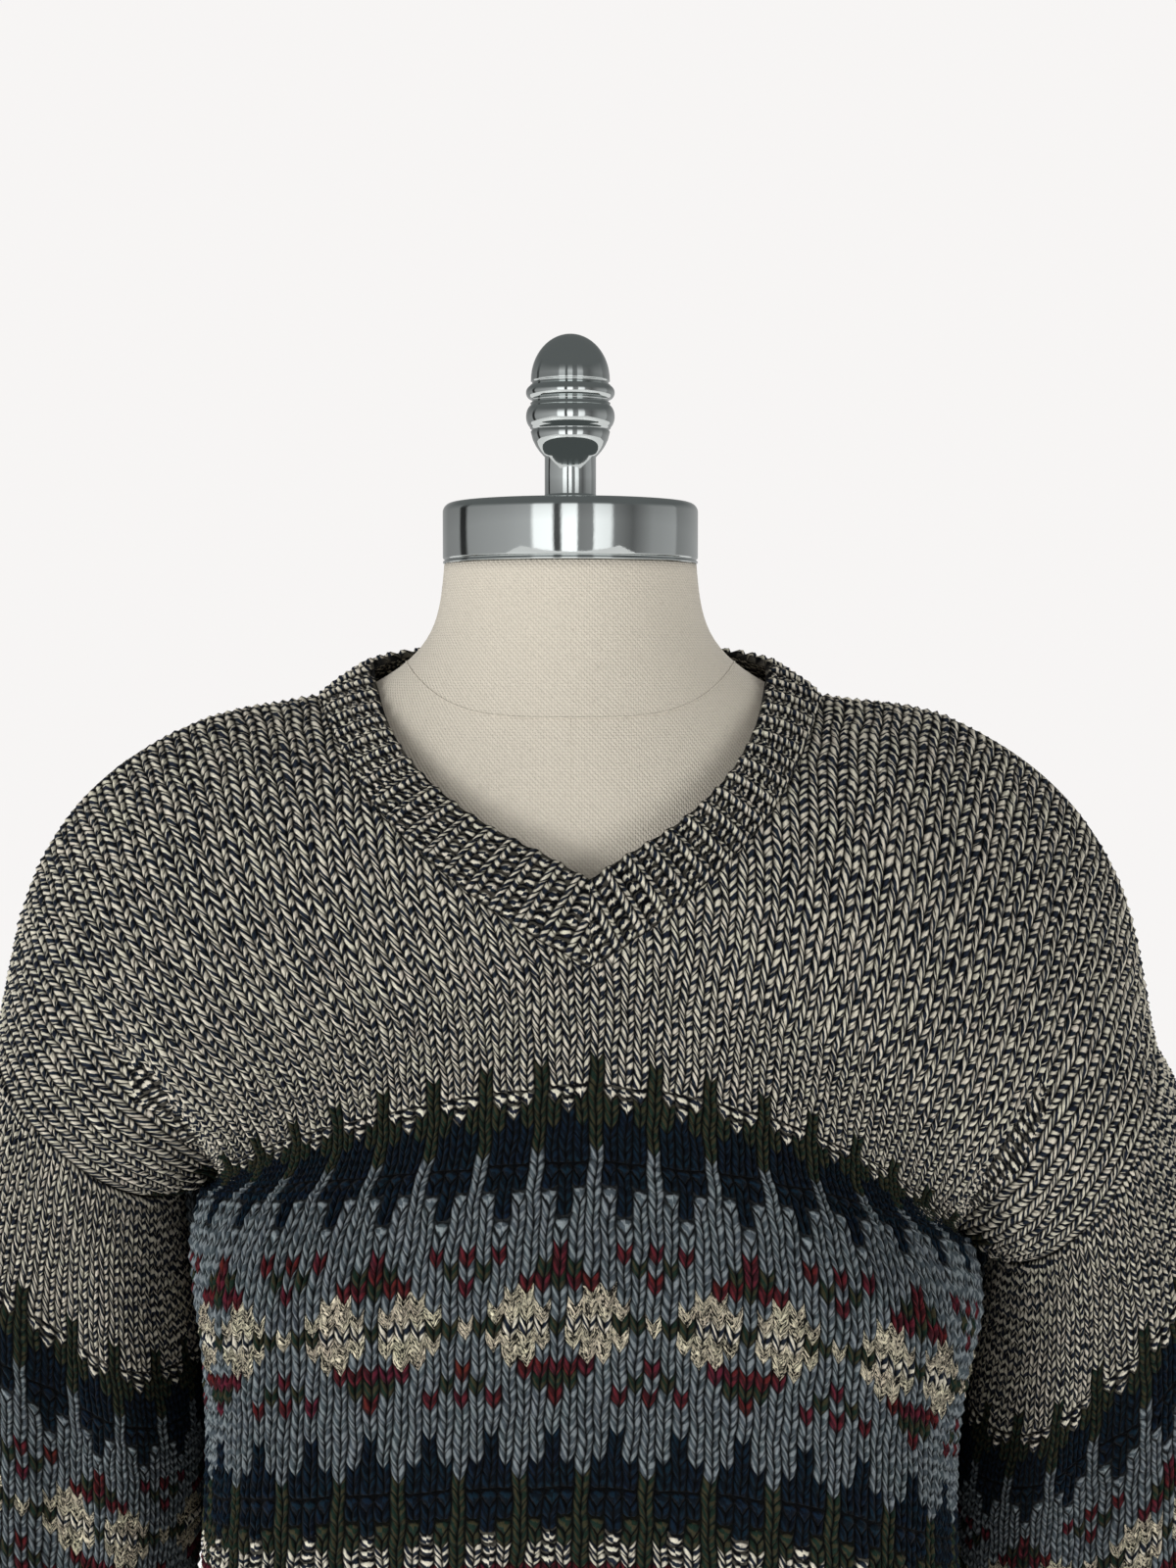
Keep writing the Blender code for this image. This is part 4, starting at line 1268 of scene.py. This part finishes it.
def makeLinenMaterial(name, thread):
    made, tree, shader = newMaterial(name, tuple(linear(linen["colour"])), 0.88)
    grid = uvGrid(tree, "cloth")
    x, y, _ = apartFrom(tree, grid)
    u, v = calc(tree, "DIVIDE", x, thread), calc(tree, "DIVIDE", y, thread)
    bent = times(tree, noise(tree, grid, 900.0, 2.0), 0.9)

    def wave(value, turn):
        return calc(tree, "SINE", times(tree, plus(tree, value, bent), turn))

    twill = wave(plus(tree, u, v), math.pi)
    threads = plus(tree, wave(u, 2 * math.pi), wave(v, 2 * math.pi))
    woven = calc(tree, "MULTIPLY_ADD", twill, 0.5, times(tree, threads, 0.35))
    slubs = noise(tree, inObject(tree), 520.0, 3.0, 0.7)
    dark = spread(tree, slubs, 0.30, 0.42, 0.86, 1.0)
    tone = times(tree, dark, spread(tree, woven, -1.2, 1.2, 0.80, 1.10))
    toned = scaled(tree, linear(linen["colour"]), tone)
    uneven = useGroup(tree, unevenTone, Colour=toned, Scale=14.0, Amount=0.10)
    fill(tree, shader, {"Base Color": uneven[0], "Sheen Weight": 0.15, "Specular IOR Level": 0.25})
    addBump(tree, shader, woven, 0.00016)
    return made


linenMaterial = makeLinenMaterial("linenCover", linen["thread"])


def clothMap(bm):
    # lengths round and up the form, in metres
    layer = bm.loops.layers.uv.new("cloth")
    for face in bm.faces:
        middle = face.calc_center_median()
        first = math.atan2(middle.x, -middle.y)
        for loop in face.loops:
            at = loop.vert.co
            reach = math.hypot(at.x, at.y)
            turn = math.atan2(at.x, -at.y) if reach > 1e-6 else first
            turn += 2 * math.pi * round((first - turn) / (2 * math.pi))
            loop[layer].uv = (turn * reach, at.z)


def makeCover():
    bm = bmesh.new()
    bm.from_mesh(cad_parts["form_torso"].data)
    bmesh.ops.remove_doubles(bm, verts=bm.verts, dist=0.00001)
    bmesh.ops.join_triangles(bm, faces=bm.faces, angle_face_threshold=3.1, angle_shape_threshold=3.1)
    bmesh.ops.recalc_face_normals(bm, faces=bm.faces)
    crease = bm.edges.layers.float.new("crease_edge")
    for edge in bm.edges:
        if edge.calc_face_angle(0) > math.radians(50):
            edge[crease] = 1.0
    mesh = meshFrom(bm, "linenCover")
    made = newObject("linenCover", mesh)
    smooth = made.modifiers.new("smooth", "SUBSURF")
    smooth.levels = smooth.render_levels = 2
    fine = bpy.data.meshes.new_from_object(made.evaluated_get(bpy.context.evaluated_depsgraph_get()))
    made.modifiers.clear()
    bm = bmesh.new()
    bm.from_mesh(fine)
    clothMap(bm)
    bm.to_mesh(fine)
    bm.free()
    made.data = fine
    bpy.data.meshes.remove(mesh)
    fine.name = "linenCover"
    fine.shade_smooth()
    fine.materials.append(linenMaterial)
    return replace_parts(made, "form_torso")


linenCover = makeCover()


def makeWelt(name, path, radius, closed):
    # a thin sewn ridge along a path
    curve = bpy.data.curves.new(name, "CURVE")
    curve.dimensions = "3D"
    curve.bevel_depth = radius
    curve.bevel_resolution = 2
    curve.use_fill_caps = True
    line = curve.splines.new("POLY")
    line.points.add(len(path) - 1)
    line.use_cyclic_u = closed
    for point, place in zip(line.points, path):
        point.co = (*place, 1)
    strand = newObject(name + "Path", curve)
    mesh = bpy.data.meshes.new_from_object(strand.evaluated_get(bpy.context.evaluated_depsgraph_get()))
    bpy.data.objects.remove(strand)
    bpy.data.curves.remove(curve)
    bm = bmesh.new()
    bm.from_mesh(mesh)
    bmesh.ops.remove_doubles(bm, verts=bm.verts, dist=0.00001)
    bmesh.ops.recalc_face_normals(bm, faces=bm.faces)
    clothMap(bm)
    bm.to_mesh(mesh)
    bm.free()
    mesh.name = name
    return finished(name, mesh, linenMaterial)


def onForm(tree, target):
    # the point of the cover on the spoke from the form's axis through a point
    hub = Vector((0.3 * target.x, 0.2 * target.y, target.z))
    hit = tree.ray_cast(hub, (target - hub).normalized())
    return hit[0] if hit[0] is not None else target


def makeFormSeams():
    bm = bmesh.new()
    bm.from_mesh(linenCover.data)
    tree = BVHTree.FromBMesh(bm)
    bm.free()
    seam = linen["neckSeam"]
    path = []
    for i in range(120):
        turn = 2 * math.pi * i / 120
        cos, sin = math.cos(turn), math.sin(turn)
        depth, middle = (seam["front"], seam["frontZ"]) if sin < 0 else (seam["back"], seam["backZ"])
        z = middle + (seam["z"] - middle) * abs(cos) ** linen["ridge"]
        path.append(onForm(tree, Vector((seam["wide"] * cos, depth * sin, z + rimHeight))))
    collar = makeWelt("neckBaseSeam", path, linen["welt"], True)
    path = []
    for i in range(90):
        z = rimHeight + seam["frontZ"] - 0.0005 - i * 0.0045
        target = Vector((linen["frontSeamX"], -0.2, z))
        hit = tree.ray_cast(target, Vector((0, 1, 0)))
        if hit[0] is not None:
            path.append(hit[0] + Vector((0, 0.0002, 0)))
    centre = makeWelt("centreFrontSeam", path, 0.6 * linen["welt"], False)
    return collar, centre


neckBaseSeam, centreFrontSeam = makeFormSeams()
print("form made")


# what rides on the body, what each piece of cloth was cut from, and the finish names the form and stand
# pieces are listed under

knitPieces = {
    frontKnit: {"flat": (0.60, 0.63), "area": 0.331},
    backKnit: {"flat": (0.60, 0.63), "area": 0.344},
    sleeveRight: {"flat": (0.46, 0.40), "area": 0.141},
    sleeveLeft: {"flat": (0.45, 0.40), "area": 0.147},
    hemKnit: {"flat": (1.12, 0.068)},
    cuffRight: {"flat": (0.24, 0.068)},
    cuffLeft: {"flat": (0.24, 0.068)},
    neckbandKnit: {"flat": (0.72, 0.030)},
}
formAndStand = {
    "linen": [linenCover, neckBaseSeam, centreFrontSeam],
    "chrome": [capChrome, finialChrome, baseChrome],
    "steel": [postSteel],
}
for slot, pieces in formAndStand.items():
    for piece in pieces:
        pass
for piece in (*knitPieces, *sum(formAndStand.values(), [])):
    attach(piece, "root")


# the studio: a pale floor and backdrop, a soft key light, and dark and light bands for the chrome to mirror


def makeStage():
    bm = bmesh.new()
    bmesh.ops.create_grid(bm, x_segments=1, y_segments=1, size=3.0)
    mesh = meshFrom(bm, "floor")
    floor = newObject("floor", mesh)
    floor.location = (0, 0, -0.001)
    paint, tree, shader = newMaterial("palePaint", (0.22, 0.22, 0.215), 0.9)
    fill(tree, shader, {"Emission Color": (1.0, 0.985, 0.975, 1), "Emission Strength": 0.82})
    mesh.materials.append(paint)
    return floor


makeStage()


def addLight(name, at, aim, size, power, colour):
    lamp = bpy.data.lights.new(name, "AREA")
    lamp.shape = "RECTANGLE"
    lamp.size, lamp.size_y = size
    lamp.energy = power
    lamp.color = colour
    made = newObject(name, lamp)
    made.visible_glossy = False
    made.location = at
    made.rotation_euler = (Vector(aim) - Vector(at)).to_track_quat("-Z", "Y").to_euler()
    return made


daylight, white = (0.95, 0.98, 1), (1, 1, 1)
lamps = table(
    "name at aim size power colour",
    ("key", (-1.8, -1.1, 1.35), (0, 0, 0.78), (0.9, 1.3), 22, daylight),
    ("fill", (1.9, -0.9, 1.25), (0, 0, 0.76), (0.9, 1.4), 13, daylight),
    ("lowLeft", (-1.5, -1.6, 0.5), (-0.2, 0, 0.75), (0.8, 0.8), 21, white),
    ("lowRight", (1.5, -1.6, 0.5), (0.2, 0, 0.75), (0.8, 0.8), 12, white),
    ("front", (-0.3, -1.5, 2.1), (0, 0, 1.02), (0.9, 0.6), 2, white),
    ("rim", (0.4, 2.1, 2.0), (0, 0, 0.85), (1.8, 1.0), 26, white),
)
for lamp in lamps:
    addLight(**lamp)


def makeWorld():
    world = bpy.data.worlds.new("studio")
    world.use_nodes = True
    tree = world.node_tree
    tree.nodes.clear()
    rays = tree.nodes.new("ShaderNodeLightPath").outputs
    x, y, z = apartFrom(tree, tree.nodes.new("ShaderNodeTexCoord").outputs["Generated"])
    turn = calc(tree, "ARCTAN2", x, times(tree, y, -1.0))
    ramp = tree.nodes.new("ShaderNodeValToRGB")
    put(tree, ramp.inputs[0], spread(tree, turn, -math.pi, math.pi, 0.0, 1.0))
    stops = [(0.0, 0.45), (0.10, 0.30), (0.17, 0.35), (0.18, 0.04), (0.20, 0.04), (0.21, 0.40), (0.33, 0.50)]
    stops += [(0.40, 0.60), (0.41, 1.6), (0.455, 1.7), (0.46, 0.10), (0.475, 0.10), (0.48, 1.7), (0.515, 1.8)]
    stops += [(0.52, 0.30), (0.555, 0.35), (0.56, 1.5), (0.60, 1.3), (0.61, 0.30), (0.66, 0.16), (0.72, 0.40)]
    stops += [(0.80, 0.48), (0.81, 0.30), (0.90, 0.40), (1.0, 0.45)]
    bands = ramp.color_ramp.elements
    while len(bands) < len(stops):
        bands.new(0.5)
    for element, (at, tone) in zip(bands, stops):
        element.position = at
        element.color = (tone, tone, tone, 1)
    upward = spread(tree, z, 0.0, 0.45, 1.0, 0.45)
    plain = spread(tree, z, 0.10, 0.55, 0.0, 1.0, smooth=True)
    bandTone = blend(tree, plain, ramp.outputs[0], (0.34, 0.36, 0.36, 1))

    def background(colour, strength):
        node = tree.nodes.new("ShaderNodeBackground")
        return fill(tree, node, {"Color": colour, "Strength": strength}).outputs[0]

    def mixed(factor, first, second):
        node = tree.nodes.new("ShaderNodeMixShader")
        return fill(tree, node, {0: factor, 1: first, 2: second}).outputs[0]

    ambient = background((1.0, 0.99, 0.98, 1), 0.37)
    around = mixed(rays["Is Glossy Ray"], ambient, background(bandTone, upward))
    seen = background((0.930, 0.914, 0.906, 1), 1.0)
    output = tree.nodes.new("ShaderNodeOutputWorld")
    fill(tree, output, {"Surface": mixed(rays["Is Camera Ray"], around, seen)})
    return world


bpy.context.scene.world = makeWorld()
bpy.context.scene.view_settings.view_transform = "Standard"

photo = {"sensor": 36.0, "lens": 51.48, "shift": 0.01125, "at": (0, -1.1, 0.975), "down": (130, 2288)}
view = bpy.data.cameras.new("photoView")
view.sensor_width = photo["sensor"]
view.lens = photo["lens"]
view.shift_x = photo["shift"]
camera = newObject("photoView", view)
camera.location = photo["at"]
camera.rotation_euler = (math.pi / 2 - math.atan2(*photo["down"]), 0, 0)
bpy.context.scene.camera = camera
print("studio made")
